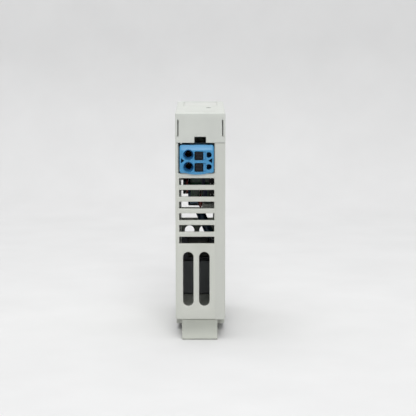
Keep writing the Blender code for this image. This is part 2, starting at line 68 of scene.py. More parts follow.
LEFT, RIGHT = CAP_X
COVER_LEFT = RIGHT - 1.5      # inner face of the right-hand cover
END_Y = CAP_Y[1]
TOP_Z = CAP_Z[1]
SEAM_Z = SHELL_RIM_Z + 0.3    # lower edge of the front cap
SHELL_TOP = SEAM_Z - 0.2      # leaves an open joint under the front cap
WALL = 1.6
INNER_LEFT = LEFT + WALL
INNER_Y = END_Y - WALL
BOTTOM_Z = 6.8                # underside of the two overhanging ends
FLOOR_Z = BOTTOM_Z + WALL
FINE_GAP = 0.06               # visible gap between mouldings that touch

# Openings in the end walls
WINDOW_X = (-10.04, 6.40)
WINDOW_Z = 73.8
VENT_X = (-9.58, 6.29)
VENT_TOP = 71.65
VENT_PITCH = 5.34
VENT_HEIGHT = 3.2
VENT_COUNT = 6
SLOT_CENTRES = (-5.52, 1.78)
SLOT_WIDTH = 4.72
SLOT_Z = (12.9, 37.9)
FAR_RAISE = 0.85              # how much higher the far end's vents and slots sit
LAP_X = 6.72                  # where the cover's edge laps over the end walls
LAP_DEPTH = 0.75


# ---------------------------------------------------------------- outlines
def arc(centre, radius, start, sweep, steps):
    """Points along an arc, both ends included. Angles are in degrees."""
    angles = [math.radians(start + sweep * i / steps) for i in range(steps + 1)]
    return [(centre[0] + radius * math.cos(a), centre[1] + radius * math.sin(a)) for a in angles]


def rectangle(u, v, radius=0.0, steps=4, grow=0.0):
    """A rectangle's outline, with round corners if a radius is given."""
    u0, u1, v0, v1 = u[0] - grow, u[1] + grow, v[0] - grow, v[1] + grow
    if not radius:
        return [(u0, v0), (u1, v0), (u1, v1), (u0, v1)]
    radius += grow
    return (
        arc((u0 + radius, v0 + radius), radius, 180, 90, steps)
        + arc((u1 - radius, v0 + radius), radius, 270, 90, steps)
        + arc((u1 - radius, v1 - radius), radius, 0, 90, steps)
        + arc((u0 + radius, v1 - radius), radius, 90, 90, steps)
    )


def stadium(centre, width, low, high, grow=0.0, steps=16):
    """An upright slot's outline, straight sides with round ends."""
    radius = width / 2
    return (
        arc((centre, high - radius), radius + grow, 0, 180, steps)
        + arc((centre, low + radius), radius + grow, 180, 180, steps)
    )


def ribbon(path, thickness):
    """The outline of a bent strip that follows an open path."""
    points = [Vector(point) for point in path]
    left, right = [], []
    for i, point in enumerate(points):
        before = (point - points[i - 1]).normalized() if i else None
        after = (points[i + 1] - point).normalized() if i < len(points) - 1 else None
        along = ((before or after) + (after or before)).normalized()
        normal = Vector((-along.y, along.x))
        straight = before or after
        stretch = 1 / max(0.4, normal.dot(Vector((-straight.y, straight.x))))
        left.append(tuple(point + normal * thickness / 2 * stretch))
        right.append(tuple(point - normal * thickness / 2 * stretch))
    return left + right[::-1]


# ---------------------------------------------------------------- meshes
def skin(mesh, loops, closed=False):
    """Faces between rings of points: capped at both ends, or going round to the first ring."""
    count = len(loops[0])
    faces = [] if closed else [mesh.faces.new(loops[0]), mesh.faces.new(loops[-1])]
    for below, above in zip(loops, loops[1:] + (loops[:1] if closed else [])):
        for i in range(count):
            j = (i + 1) % count
            faces.append(mesh.faces.new((below[i], below[j], above[j], above[i])))
    bmesh.ops.recalc_face_normals(mesh, faces=faces)
    return faces


def add_loft(mesh, rings, axis):
    """A closed solid through (outline, height) rings that have equal numbers of points."""
    def in_space(u, v, w):
        return {"X": (w, u, v), "Y": (u, w, v), "Z": (u, v, w)}[axis]
    return skin(mesh, [[mesh.verts.new(in_space(u, v, w)) for u, v in outline] for outline, w in rings])


def add_prism(mesh, outline, axis, start, end):
    return add_loft(mesh, [(outline, start), (outline, end)], axis)


def add_box(mesh, x, y, z, bevel=0.0, segments=2):
    """A box, with rounded edges if a bevel is given."""
    faces = add_prism(mesh, rectangle(x, y), "Z", *z)
    if bevel:
        edges = list({edge for face in faces for edge in face.edges})
        round_edges(mesh, edges, bevel, segments)


def add_turned(mesh, profile, centre, axis, segments=32):
    """Turn a profile of (radius, height) points about an axis through the centre."""
    sweep = 360 * (segments - 1) / segments
    rings = [(arc(centre, radius, 0, sweep, segments - 1), height) for radius, height in profile]
    add_loft(mesh, rings, axis)


def add_tube(mesh, path, radius, sides=8):
    """A round bar that follows a list of 3-D points."""
    points = [Vector(point) for point in path]
    loops = []
    side = None
    for i, point in enumerate(points):
        along = (points[min(i + 1, len(points) - 1)] - points[max(i - 1, 0)]).normalized()
        if side is None:
            side = along.orthogonal().normalized()
        side = (side - along * side.dot(along)).normalized()
        other = along.cross(side)
        angles = [2 * math.pi * k / sides for k in range(sides)]
        ring = [point + radius * (side * math.cos(a) + other * math.sin(a)) for a in angles]
        loops.append([mesh.verts.new(place) for place in ring])
    skin(mesh, loops)


def solid(add, *shape):
    """A new mesh that holds one solid, made by a function that adds to a mesh."""
    mesh = bmesh.new()
    add(mesh, *shape)
    return mesh


def round_edges(mesh, edges, width, segments=3):
    bmesh.ops.bevel(mesh, geom=edges, offset=width, segments=segments, profile=0.5,
                    affect="EDGES", clamp_overlap=False)


def near(a, b):
    return abs(a - b) < 1e-4


def edges_where(mesh, wanted):
    """The edges whose two end points both pass a test."""
    return [edge for edge in mesh.edges if all(wanted(vert.co) for vert in edge.verts)]


def edges_level_in(mesh, axes):
    """The edges whose two end points have the same coordinates along the named axes."""
    return [edge for edge in mesh.edges
            if all(near(*(getattr(vert.co, axis) for vert in edge.verts)) for axis in axes)]


def add_rimmed_opening(mesh, shape, side, rim, depth, face_y=END_Y, steps=3):
    """A cutter that goes into an end face and rounds the opening's rim."""
    rings = [(shape(rim), side * (face_y + 4)), (shape(rim), side * face_y)]
    for i in range(1, steps + 1):
        angle = math.pi / 2 * i / steps
        rings.append((shape(rim - rim * math.sin(angle)), side * (face_y - rim + rim * math.cos(angle))))
    rings.append((shape(0.0), side * (face_y - depth)))
    add_loft(mesh, rings, "Y")


# ---------------------------------------------------------------- objects
def make_object(name, mesh):
    data = bpy.data.meshes.new(name)
    mesh.to_mesh(data)
    mesh.free()
    made = bpy.data.objects.new(name, data)
    bpy.context.scene.collection.objects.link(made)
    return made


def make_solid(name, add, *shape):
    """An object that is one solid, made by one of the functions that add to a mesh."""
    return make_object(name, solid(add, *shape))


def apply_modifiers(piece):
    graph = bpy.context.evaluated_depsgraph_get()
    data = bpy.data.meshes.new_from_object(piece.evaluated_get(graph))
    piece.modifiers.clear()
    old = piece.data
    piece.data = data
    bpy.data.meshes.remove(old)


def combine(piece, mesh, operation):
    tool = make_object("tool", mesh)
    modifier = piece.modifiers.new(operation.lower(), "BOOLEAN")
    modifier.operation = operation
    modifier.solver = "EXACT"
    modifier.object = tool
    apply_modifiers(piece)
    bpy.data.objects.remove(tool)


def cut(piece, mesh):
    combine(piece, mesh, "DIFFERENCE")


def join(piece, mesh):
    combine(piece, mesh, "UNION")


def tidy_mesh(piece):
    """Merge doubled points and flat neighbouring faces that the Booleans left."""
    mesh = bmesh.new()
    mesh.from_mesh(piece.data)
    bmesh.ops.remove_doubles(mesh, verts=mesh.verts, dist=1e-4)
    bmesh.ops.dissolve_limit(mesh, angle_limit=math.radians(0.3), verts=mesh.verts,
                             edges=mesh.edges, use_dissolve_boundaries=False)
    mesh.to_mesh(piece.data)
    mesh.free()


def soften(piece, width):
    """Round a piece's sharp edges with a Bevel modifier."""
    modifier = piece.modifiers.new("bevel", "BEVEL")
    modifier.width = width
    modifier.segments = 2
    modifier.limit_method = "ANGLE"
    modifier.angle_limit = math.radians(40)
    modifier.use_clamp_overlap = True
    modifier.miter_outer = "MITER_ARC"
    apply_modifiers(piece)


def finish_piece(piece, look, body, nodes=(), sharp=32):
    """Scale to metres, shade, give a material or a named look, and ride on the body."""
    piece.data.transform(Matrix.Scale(MM, 4))
    piece.data.materials.clear()
    piece.data.materials.append(named_material(look) if isinstance(look, str) else look)
    piece.data.shade_smooth()
    piece.data.set_sharp_from_angle(angle=math.radians(sharp))
    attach(piece, body)
    if nodes:
        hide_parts(*nodes)


def make_leads(name, paths, radius):
    """Round wire leads along several paths, as one piece."""
    leads = bmesh.new()
    for path in paths:
        add_tube(leads, path, radius)
    finish_metal(name, leads)


def finish_metal(name, mesh, look="lead_tin", nodes=(), sharp=32):
    """Leads, pins, caps and rings that are fixed in the housing."""
    finish_piece(make_object(name, mesh), look, "housing", nodes, sharp)


# ---------------------------------------------------------------- materials
MOULDED = {
    # display colour, roughness, then grain size, grain depth, colour spread and specular level
    "housing_moulding": ((212, 214, 206), 0.55),
    # the latch: the housing plastic painted darker, as painted shade under the overhanging end
    "latch_moulding": ((197, 200, 191), 0.55),
    # the cover and window blank: the housing plastic painted a little darker, as painted shade on the
    # right-hand strip of the end faces
    "cover_moulding": ((208, 210, 203), 0.58),
    "cap_moulding": ((211, 214, 208), 0.5),
    "plug_moulding": ((72, 150, 199), 0.34, 0.3, 0.004, 0.05),
    "button_moulding": ((31, 34, 39), 0.55, 0.2, 0.006, 0.12, 0.25),
    "marker_sheet": ((216, 218, 213), 0.42, 0.15, 0.003, 0.01),
    "header_moulding": ((214, 215, 210), 0.5),
    # the relay: a black case painted mid grey, as painted light falling on it through the end-wall slots
    "relay_case": ((142, 145, 149), 0.55, 0.25, 0.008, 0.06),
    "connector_moulding": ((26, 26, 28), 0.5, 0.2, 0.005, 0.15),
    "film_case": ((38, 50, 84), 0.45, 0.25, 0.006, 0.1),
    "sleeve_stripe": ((150, 178, 206), 0.35, 0.3, 0.003, 0.05),
}
METALS = {
    # display colour, roughness, then how the streaks are stretched
    "spring_strip": ((206, 207, 206), 0.3),
    # the plug's contacts, cage plates and header pins: tin painted dark, as painted shade deep in the wire
    # funnels
    "aged_contact": ((84, 82, 76), 0.5),
    "contact_tin": ((222, 214, 198), 0.28),
    "lead_tin": ((214, 214, 212), 0.34),
    "solder": ((198, 200, 201), 0.38),
    "can_aluminium": ((205, 208, 212), 0.35, (8.0, 1.0, 1.0)),
}
SPECKLED = {
    # roughness, coat, speck size, noise detail, bump depth, then the dark and pale display
    # colours, each with its place on the ramp
    "chip_epoxy": (0.55, 0.0, 0.12, 2.0, 0.01, (0.35, (22, 22, 24)), (0.7, (38, 38, 41))),
    "dipped_epoxy": (0.28, 0.5, 0.7, 3.0, 0.03, (0.3, (118, 38, 38)), (0.7, (146, 54, 50))),
    "ferrite": (0.62, 0.0, 0.5, 4.0, 0.03, (0.38, (112, 114, 110)), (0.62, (160, 162, 157))),
    # the transformer core: dark ferrite painted light grey, as painted light falling on it through the vents
    "core_ferrite": (0.6, 0.0, 0.4, 4.0, 0.02, (0.3, (86, 87, 93)), (0.7, (110, 111, 118))),
    "ceramic_body": (0.35, 0.0, 0.6, 3.0, 0.01, (0.3, (186, 176, 152)), (0.7, (208, 199, 178))),
    "fuse_ceramic": (0.3, 0.0, 0.8, 3.0, 0.01, (0.3, (218, 217, 210)), (0.7, (232, 231, 226))),
}


def srgb(red, green, blue):
    """A linear colour from display values of 0 to 255."""
    def linear(value):
        value /= 255
        return value / 12.92 if value <= 0.04045 else ((value + 0.055) / 1.055) ** 2.4
    return tuple(linear(value) for value in (red, green, blue))


def scaled(colour, factor):
    return tuple(min(1.0, channel * factor) for channel in colour)


class Surface:
    """A Principled material under construction, with short ways to add procedural detail."""

    def __init__(self, name, roughness, **sockets):
        self.material = bpy.data.materials.new(name)
        self.material.use_nodes = True
        self.nodes = self.material.node_tree.nodes
        self.links = self.material.node_tree.links
        self.shader = self.nodes["Principled BSDF"]
        for socket, value in {"roughness": roughness, **sockets}.items():
            title = socket.replace("_", " ").title().replace("Ior", "IOR")
            self.shader.inputs[title].default_value = value
        self.place = self.nodes.new("ShaderNodeTexCoord").outputs["Object"]
        self.height = None

    def feed(self, socket, value):
        """Link a socket to another one, or set it to a number, a vector or a colour."""
        if isinstance(value, bpy.types.NodeSocket):
            self.links.new(value, socket)
        else:
            socket.default_value = (*value, 1.0) if socket.type == "RGBA" else value

    def node(self, kind, result, **inputs):
        """Add a node, feed its inputs (an underscore stands for a space), return one output."""
        made = self.nodes.new("ShaderNode" + kind)
        for title, value in inputs.items():
            self.feed(made.inputs[title.replace("_", " ")], value)
        return made.outputs[result]

    def noise(self, size_mm, detail=2.0, stretch=None):
        """Noise whose blobs are about size_mm across."""
        place = self.place
        if stretch:
            place = self.node("Mapping", "Vector", Vector=place, Scale=stretch)
        return self.node("TexNoise", "Fac", Vector=place, Scale=1.0 / (size_mm * MM), Detail=detail)

    def cells(self, size_mm, randomness):
        """Distance from the middles of a loose grid of cells."""
        return self.node("TexVoronoi", "Distance", Vector=self.place, Scale=1.0 / (size_mm * MM),
                         Randomness=randomness)

    def ramp(self, value, stops):
        """Map a value through (position, colour or number) stops."""
        node = self.nodes.new("ShaderNodeValToRGB")
        elements = node.color_ramp.elements
        while len(elements) < len(stops):
            elements.new(0.5)
        for stop, (position, colour) in zip(elements, stops):
            stop.position = position
            stop.color = (*(colour if isinstance(colour, tuple) else (colour,) * 3), 1.0)
        self.feed(node.inputs["Fac"], value)
        return node.outputs["Color"]

    def mix_colour(self, mask, first, second):
        return self.node("MixRGB", "Color", Fac=mask, Color1=first, Color2=second)

    def math(self, operation, first, second=0.0):
        node = self.nodes.new("ShaderNodeMath")
        node.operation = operation
        for socket, value in zip(node.inputs, (first, second)):
            self.feed(socket, value)
        return node.outputs["Value"]

    def axis(self, name):
        return self.node("SeparateXYZ", name, Vector=self.place)

    def colour(self, value):
        self.feed(self.shader.inputs["Base Color"], value)

    def two_tone(self, value, dark, pale, low=0.3, high=0.7):
        """A ramp between two display colours."""
        return self.ramp(value, [(low, srgb(*dark)), (high, srgb(*pale))])

    def roughness(self, value, low, high):
        spread = self.node("MapRange", "Result", Value=value, To_Min=low, To_Max=high)
        self.feed(self.shader.inputs["Roughness"], spread)

    def bump(self, value, depth_mm):
        """Add relief on top of the relief that is already there."""
        below = {} if self.height is None else {"Normal": self.height}
        self.height = self.node("Bump", "Normal", Strength=1.0, Distance=depth_mm * MM, Height=value, **below)
        self.feed(self.shader.inputs["Normal"], self.height)


def named_material(name):
    """A new material from one of the tables."""
    if name in MOULDED:
        return moulded_plastic(name, *MOULDED[name])
    if name in METALS:
        return plated_metal(name, *METALS[name])
    return speckled(name, *SPECKLED[name])


def moulded_plastic(name, display, roughness, grain_mm=0.22, grain_depth=0.006, spread=0.03, specular=0.5):
    """Injection-moulded plastic: spark-eroded grain, faint flow marks, slight gloss changes."""
    surface = Surface(name, roughness, specular_ior_level=specular)
    colour = srgb(*display)
    flow = surface.noise(9.0, 4.0, (1.0, 1.0, 0.35))
    surface.colour(surface.ramp(flow, [
        (0.30, scaled(colour, 1 - spread)), (0.55, colour), (0.75, scaled(colour, 1 + spread * 0.7)),
    ]))
    surface.roughness(surface.noise(2.5, 3.0), roughness - 0.06, roughness + 0.06)
    surface.bump(surface.noise(grain_mm, 2.0), grain_depth)
    surface.bump(flow, 0.02)
    return surface.material


def plated_metal(name, display, roughness, streak=(1.0, 1.0, 8.0)):
    """Plated sheet: fine drawn streaks and slightly uneven tarnish."""
    surface = Surface(name, roughness, metallic=1.0)
    colour = srgb(*display)
    surface.colour(surface.ramp(surface.noise(3.0, 4.0), [(0.3, scaled(colour, 0.8)), (0.6, colour)]))
    streaks = surface.noise(0.4, 2.0, streak)
    surface.roughness(streaks, roughness - 0.08, roughness + 0.12)
    surface.bump(streaks, 0.004)
    return surface.material


def speckled(name, roughness, coat, speck_mm, detail, bump_depth, dark, pale):
    """Epoxy, ferrite or ceramic: fine specks of two tones that also make its surface uneven."""
    surface = Surface(name, roughness, coat_weight=coat)
    specks = surface.noise(speck_mm, detail)
    surface.colour(surface.two_tone(specks, dark[1], pale[1], dark[0], pale[0]))
    surface.bump(specks, bump_depth)
    return surface.material


def board_laminate():
    """Green solder mask, with pale rings of track that stand slightly proud."""
    surface = Surface("board_laminate", 0.32, coat_weight=0.25)
    tracks = surface.ramp(surface.cells(2.6, 0.35), [(0.42, 0.0), (0.46, 1.0), (0.52, 1.0), (0.56, 0.0)])
    ground = surface.two_tone(surface.noise(12.0, 1.0), (18, 66, 42), (24, 78, 50))
    surface.colour(surface.mix_colour(tracks, ground, srgb(38, 104, 66)))
    surface.bump(tracks, 0.03)
    surface.roughness(surface.noise(3.0, 2.0), 0.25, 0.42)
    return surface.material


def capacitor_sleeve():
    """Shrink sleeve: soft ripples round the can and a little dust."""
    surface = Surface("shrink_sleeve", 0.3, coat_weight=0.3)
    ripple = surface.noise(1.6, 3.0, (0.25, 1.0, 1.0))
    surface.colour(surface.two_tone(ripple, (32, 58, 86), (42, 76, 106)))
    surface.roughness(surface.noise(0.8, 3.0), 0.26, 0.42)
    surface.bump(ripple, 0.03)
    return surface.material


def hazy_plastic(name, dark, pale, roughness, **sockets):
    """Light-pipe or lens moulding, with a cloudy tint."""
    surface = Surface(name, sum(roughness) / 2, **sockets)
    haze = surface.noise(1.2, 3.0)
    surface.colour(surface.two_tone(haze, dark, pale))
    surface.roughness(haze, *roughness)
    return surface.material


def winding_tape():
    """Layered insulating tape: grey bands with darker, slightly sunk edges."""
    surface = Surface("winding_tape", 0.35)
    bands = surface.math("FRACT", surface.math("MULTIPLY", surface.axis("Z"), 1 / (2.4 * MM)))
    edge = surface.ramp(bands, [(0.04, 0.0), (0.08, 1.0), (0.92, 1.0), (0.97, 0.0)])
    base = surface.two_tone(surface.noise(1.4, 3.0), (64, 66, 62), (78, 80, 76))
    surface.colour(surface.mix_colour(edge, srgb(44, 46, 44), base))
    surface.bump(edge, 0.05)
    return surface.material


# ---------------------------------------------------------------- housing
HOOK_INNER_Y = 17.75
HOOK_LIP_Y = 15.9
HOOK_LIP_Z = -1.25
HOOK_OUTER_Y = 20.5
GUARD_Y = HOOK_INNER_Y - 0.5  # inner end of the overhang on the plug's side
SEAT_Y = 15.0
SEAT_RELIEF = 0.5
EDGE_RADIUS = 0.4
CORNER_RADIUS = 1.1           # lower corners of the overhanging ends
RECESS = 2.6                  # how deep the end-wall openings are cut, more than the wall
TAB_X = 7.6                   # the cover's tabs reach this far in, to hold the board
TAB_LOW_EDGES = (17.4, 57.4)
TAB_HEIGHT = 8.0


def body_outline(with_hook, top):
    """Side view of the housing, as (Y, Z) points, the same as in the CAD."""
    hook = [
        (HOOK_INNER_Y, HOOK_LIP_Z), (HOOK_LIP_Y, HOOK_LIP_Z), (HOOK_LIP_Y, LOWEST_Z),
        (HOOK_OUTER_Y, LOWEST_Z), (HOOK_OUTER_Y, BOTTOM_Z),
    ]
    return [
        (-END_Y, BOTTOM_Z), (-GUARD_Y, BOTTOM_Z), (-GUARD_Y, SEAT_RELIEF),
        (-SEAT_Y, SEAT_RELIEF), (-SEAT_Y, 0.0), (SEAT_Y, 0.0), (SEAT_Y, SEAT_RELIEF),
        (HOOK_INNER_Y, SEAT_RELIEF),
        *(hook if with_hook else [(HOOK_INNER_Y, BOTTOM_Z)]),
        (END_Y, BOTTOM_Z), (END_Y, top), (-END_Y, top),
    ]


def window_shape(grow):
    return rectangle(WINDOW_X, (WINDOW_Z, SEAM_Z + 8), 0.0, 1, grow)


def vent_shape(index, lift):
    top = VENT_TOP - index * VENT_PITCH + lift
    return lambda grow: rectangle(VENT_X, (top - VENT_HEIGHT, top), 0.2, 3, grow)


def slot_shape(centre, lift):
    return lambda grow: stadium(centre, SLOT_WIDTH, SLOT_Z[0] + lift, SLOT_Z[1] + lift, grow)


def finger_groove_shape(grow):
    return stadium(-1.8, 1.6, 76.5, 84.5, grow)


def add_side_wall_details(mesh, x, side, far_start):
    """Cutters for a side wall: a shallow frame groove, ejector marks and round lower corners."""
    inset, width, radius = 3.2, 0.8, 2.2
    outer, inner = (
        rectangle((-END_Y + gap, END_Y - gap), (BOTTOM_Z + gap + 0.2, SEAM_Z - gap - 0.2), corner, 6)
        for gap, corner in ((inset, radius), (inset + width, radius - width))
    )
    deep, proud = x - side * 0.3, x + side * 2.0
    skin(mesh, [
        [mesh.verts.new((level, u, v)) for u, v in outline]
        for level, outline in ((deep, outer), (proud, outer), (proud, inner), (deep, inner))
    ], closed=True)

    marks = [(y, z) for z in (20.0, 74.0) for y in (-24.0, 24.0)]
    low, high = sorted((x - side * 0.12, x + side * 2))
    for place in marks:
        add_turned(mesh, [(1.9, low), (1.9, high)], place, "X", 28)

    centre = (x - side * CORNER_RADIUS, BOTTOM_Z + CORNER_RADIUS)
    curve = [(centre[0] + side * CORNER_RADIUS * math.cos(a), centre[1] - CORNER_RADIUS * math.sin(a))
             for a in (math.pi / 2 * i / 8 for i in range(9))]
    outline = [(x + side, centre[1]), *curve, (centre[0], BOTTOM_Z - 1), (x + side, BOTTOM_Z - 1)]
    add_prism(mesh, outline, "Y", -END_Y - 1, -GUARD_Y - 0.05)
    add_prism(mesh, outline, "Y", far_start + 0.05, END_Y + 1)


def make_housing_shell():
    """Left wall, both end walls and the base, with rounded rims round every opening."""
    mesh = solid(add_prism, body_outline(True, SHELL_TOP), "X", LEFT, COVER_LEFT - 0.02)
    left_edges = edges_where(mesh, lambda co: near(co.x, LEFT) and co.z > BOTTOM_Z - 0.1)
    round_edges(mesh, left_edges, EDGE_RADIUS)
    lower_ends = edges_where(mesh, lambda co: near(abs(co.y), END_Y) and near(co.z, BOTTOM_Z))
    round_edges(mesh, lower_ends, EDGE_RADIUS + 0.05)
    shell = make_object("housing_shell_moulding", mesh)
    cut(shell, solid(add_box, (INNER_LEFT, RIGHT + 2), (-INNER_Y, INNER_Y), (FLOOR_Z, SEAM_Z + 3)))

    openings = bmesh.new()
    for side in (-1, 1):
        lift = FAR_RAISE if side > 0 else 0.0
        add_rimmed_opening(openings, window_shape, side, 0.2, RECESS)
        for index in range(VENT_COUNT):
            add_rimmed_opening(openings, vent_shape(index, lift), side, 0.2, RECESS)
        for centre in SLOT_CENTRES:
            add_rimmed_opening(openings, slot_shape(centre, lift), side, 0.45, RECESS)
        lap_y = sorted((side * (END_Y - LAP_DEPTH), side * (END_Y + 3)))
        add_box(openings, (LAP_X, RIGHT), lap_y, (BOTTOM_Z - 3, SEAM_Z + 3))
    cut(shell, openings)

    details = bmesh.new()
    for x in ((-9.65, -0.7), (0.7, 7.85)):
        for centre in (-9.7, 0.0, 9.7):
            pocket_y = (centre - 4.2, centre + 4.2)
            mouth, floor = rectangle(x, pocket_y, 0.6, 3, 0.25), rectangle(x, pocket_y, 0.6, 3)
            add_loft(details, [(mouth, -3.0), (mouth, 0.0), (floor, 0.25), (floor, BOTTOM_Z)], "Z")
    add_box(details, (4.9, 7.1), (-2.3, 2.3), (BOTTOM_Z - 1, FLOOR_Z + 1))
    add_box(details, (-3.4, 3.7), (-END_Y - 2, -END_Y + 0.12), (40.45, 40.8))
    add_side_wall_details(details, LEFT, -1, HOOK_OUTER_Y)
    cut(shell, details)

    # Rails that guide the latch, posts for the cover's screws and the latch spring's post
    ribs = bmesh.new()
    rib_top = BOTTOM_Z + 0.6
    for side, edge in ((-1, -6.1), (1, 5.43)):
        inner = edge + side * 0.3
        outer = inner + side * 1.2
        lip = edge - side * 1.1
        guide = [(inner, rib_top), (outer, rib_top), (outer, 1.1), (lip, 1.1), (lip, 2.3), (inner, 2.3)]
        add_prism(ribs, guide, "Y", -33.4, -24.0)
        add_box(ribs, (6.4, 7.1), sorted((side * 33.8, side * (INNER_Y + 0.6))), (11.4, 71.4))
    add_box(ribs, (-1.8, 1.2), (-30.2, -29.0), (2.8, rib_top))
    join(shell, ribs)
    tidy_mesh(shell)
    finish_piece(shell, "housing_moulding", "housing", ["housing_shell"])


def make_side_cover():
    """Right-hand cover whose edges lap over both end walls, with tabs for the board."""
    side_view = body_outline(False, SHELL_TOP)
    cover = make_solid("side_cover_moulding", add_prism, side_view, "X", COVER_LEFT, RIGHT)
    laps = bmesh.new()
    inner_end = COVER_LEFT + 0.5
    for side in (-1, 1):
        lap_y = sorted((side * (END_Y - LAP_DEPTH + 0.03), side * END_Y))
        add_box(laps, (LAP_X + 0.03, inner_end), lap_y, (BOTTOM_Z, SHELL_TOP))
        for low in TAB_LOW_EDGES:
            tab_y = sorted((side * 34.0, side * (INNER_Y - 0.3)))
            add_box(laps, (TAB_X, inner_end), tab_y, (low, low + TAB_HEIGHT))
    join(cover, laps)
    tidy_mesh(cover)
    mesh = bmesh.new()
    mesh.from_mesh(cover.data)
    right_edges = edges_where(mesh, lambda co: near(co.x, RIGHT) and co.z > BOTTOM_Z - 0.1)
    round_edges(mesh, right_edges, EDGE_RADIUS)
    mesh.to_mesh(cover.data)
    mesh.free()
    cut(cover, solid(add_side_wall_details, RIGHT, 1, HOOK_INNER_Y))
    tidy_mesh(cover)
    # painted shade: the cover gets the slightly darker copy of the housing plastic
    finish_piece(cover, "cover_moulding", "housing", ["side_cover"])


def make_window_blank():
    """Snap-in plate in the far end wall's unused window, with a finger groove."""
    low = WINDOW_Z + FINE_GAP
    face_y = END_Y - 0.05
    x = (WINDOW_X[0] + FINE_GAP, WINDOW_X[1] - FINE_GAP)
    plate = solid(add_box, x, (INNER_Y - 0.6, face_y), (low, SEAM_Z - 0.2), 0.2)
    blank = make_object("window_blank_plate", plate)
    join(blank, solid(add_box, (INNER_LEFT + 0.3, 7.0), (34.2, INNER_Y - 0.05), (low - 1.8, SEAM_Z - 0.6)))
    cut(blank, solid(add_rimmed_opening, finger_groove_shape, 1, 0.2, 0.7, face_y))
    tidy_mesh(blank)
    # painted shade: the blank gets the cover's slightly darker copy of the housing plastic
    finish_piece(blank, "cover_moulding", "housing", ["window_blank"])


# ---------------------------------------------------------------- front cap
NOTCH_X = (-2.69, 2.55)
NOTCH_TOP = 90.3
SLIT_CENTRES = (-10.02, 10.02)
SLIT_WIDTH = 0.56
SLIT_Z = (90.5, 97.9)
CAP_RECESS = 2.2              # how deep the notches and slits are cut, more than the wall
MARKER_X = (-8.08, 8.08)
MARKER_Y = (7.92, 34.08)
GRIP_LINES_Y = (-26.5, -24.7)
SNAP_ARMS_Y = ((-16.0, -8.0), (12.0, 20.0))
LED_X, LED_Y, LED_Z = span("status_led")
LED_PLACE = (LED_X[0] + 1.6, sum(LED_Y) / 2)


def notch_shape(grow):
    return rectangle(NOTCH_X, (SEAM_Z - 4, NOTCH_TOP), 0.0, 1, grow)


def slit_shape(centre):
    edges = (centre - SLIT_WIDTH / 2, centre + SLIT_WIDTH / 2)
    return lambda grow: rectangle(edges, SLIT_Z, 0.0, 1, grow)


def make_front_cap():
    """Box-shaped front cover with release notches, snap slits and a marker recess."""
    mesh = solid(add_box, CAP_X, CAP_Y, (SEAM_Z, TOP_Z))
    tops = edges_where(mesh, lambda co: near(co.z, TOP_Z))
    round_edges(mesh, tops + edges_level_in(mesh, "xy"), 0.5, 4)
    cap = make_object("front_cap_moulding", mesh)
    inner_x, inner_y = (LEFT + 1.5, RIGHT - 1.5), (-END_Y + 1.5, END_Y - 1.5)
    cut(cap, solid(add_box, inner_x, inner_y, (SEAM_Z - 3, TOP_Z - 1.8)))

    details = bmesh.new()
    for side in (-1, 1):
        add_rimmed_opening(details, notch_shape, side, 0.2, CAP_RECESS)
        for centre in SLIT_CENTRES:
            add_rimmed_opening(details, slit_shape(centre), side, 0.1, CAP_RECESS)
    cut(cap, details)

    # The slits open into the hollow, and a fine joint line runs from their feet to the sides
    reliefs = bmesh.new()
    for side in (-1, 1):
        for centre in SLIT_CENTRES:
            outward = math.copysign(1, centre)
            relief_x = sorted((centre + outward * SLIT_WIDTH / 2, centre - outward * 0.6))
            add_box(reliefs, relief_x, sorted((side * (END_Y - 3.2), side * (END_Y - 1.2))), SLIT_Z)
            line_x = sorted((centre - outward * 0.1, centre + outward * 2))
            line_y = sorted((side * (END_Y - 0.25), side * (END_Y + 1)))
            add_box(reliefs, line_x, line_y, (SLIT_Z[0] - 0.12, SLIT_Z[0] + 0.14))
    cut(cap, reliefs)

    top_details = solid(add_prism, rectangle(MARKER_X, MARKER_Y, 0.3, 3), "Z", TOP_Z - 0.8, TOP_Z + 1)
    add_turned(top_details, [(1.29, TOP_Z + 1), (1.29, TOP_Z), (1.28, TOP_Z - 0.05), (1.28, TOP_Z - 3)],
               LED_PLACE, "Z", 28)
    for y in GRIP_LINES_Y:
        add_box(top_details, (-7.0, 7.0), (y - 0.3, y + 0.3), (TOP_Z - 0.15, TOP_Z + 1))
    cut(cap, top_details)

    arms = bmesh.new()
    x = INNER_LEFT + 0.3
    for arm_y in SNAP_ARMS_Y:
        add_prism(arms, [
            (x, 81.4), (x + 1.2, 81.4), (x + 1.2, 89.4), (LEFT + 1.0, 89.4), (LEFT + 1.0, 88.0), (x, 88.0),
        ], "Y", *arm_y)
    add_prism(arms, nub_profile(), "X", -8.9, -8.3)
    join(cap, arms)
    tidy_mesh(cap)
    finish_piece(cap, "cap_moulding", "cap", ["front_cap"])


def nub_profile():
    """Small snap nub, in (Y, Z), that hangs from the cap's lower rim over the window."""
    return [(-END_Y + 0.1, SEAM_Z + 0.4), (-END_Y + 0.1, SEAM_Z - 0.35),
            (-END_Y + 0.5, SEAM_Z - 0.55), (-END_Y + 1.0, SEAM_Z - 0.35), (-END_Y + 1.0, SEAM_Z + 0.4)]


def make_marker_strip():
    """Blank marker sheet with faint field lines."""
    x, y, z = span("marker_strip")
    strip = make_solid("marker_strip_sheet", add_box, x, y, (z[0], z[1] - 0.05), 0.12)
    fields = bmesh.new()
    for i in range(1, 4):
        line_y = y[0] + (y[1] - y[0]) * i / 4
        add_box(fields, (x[0] - 1, x[1] + 1), (line_y - 0.12, line_y + 0.12), (z[1] - 0.2, z[1] + 1))
    cut(strip, fields)
    finish_piece(strip, "marker_sheet", "cap", ["marker_strip"])


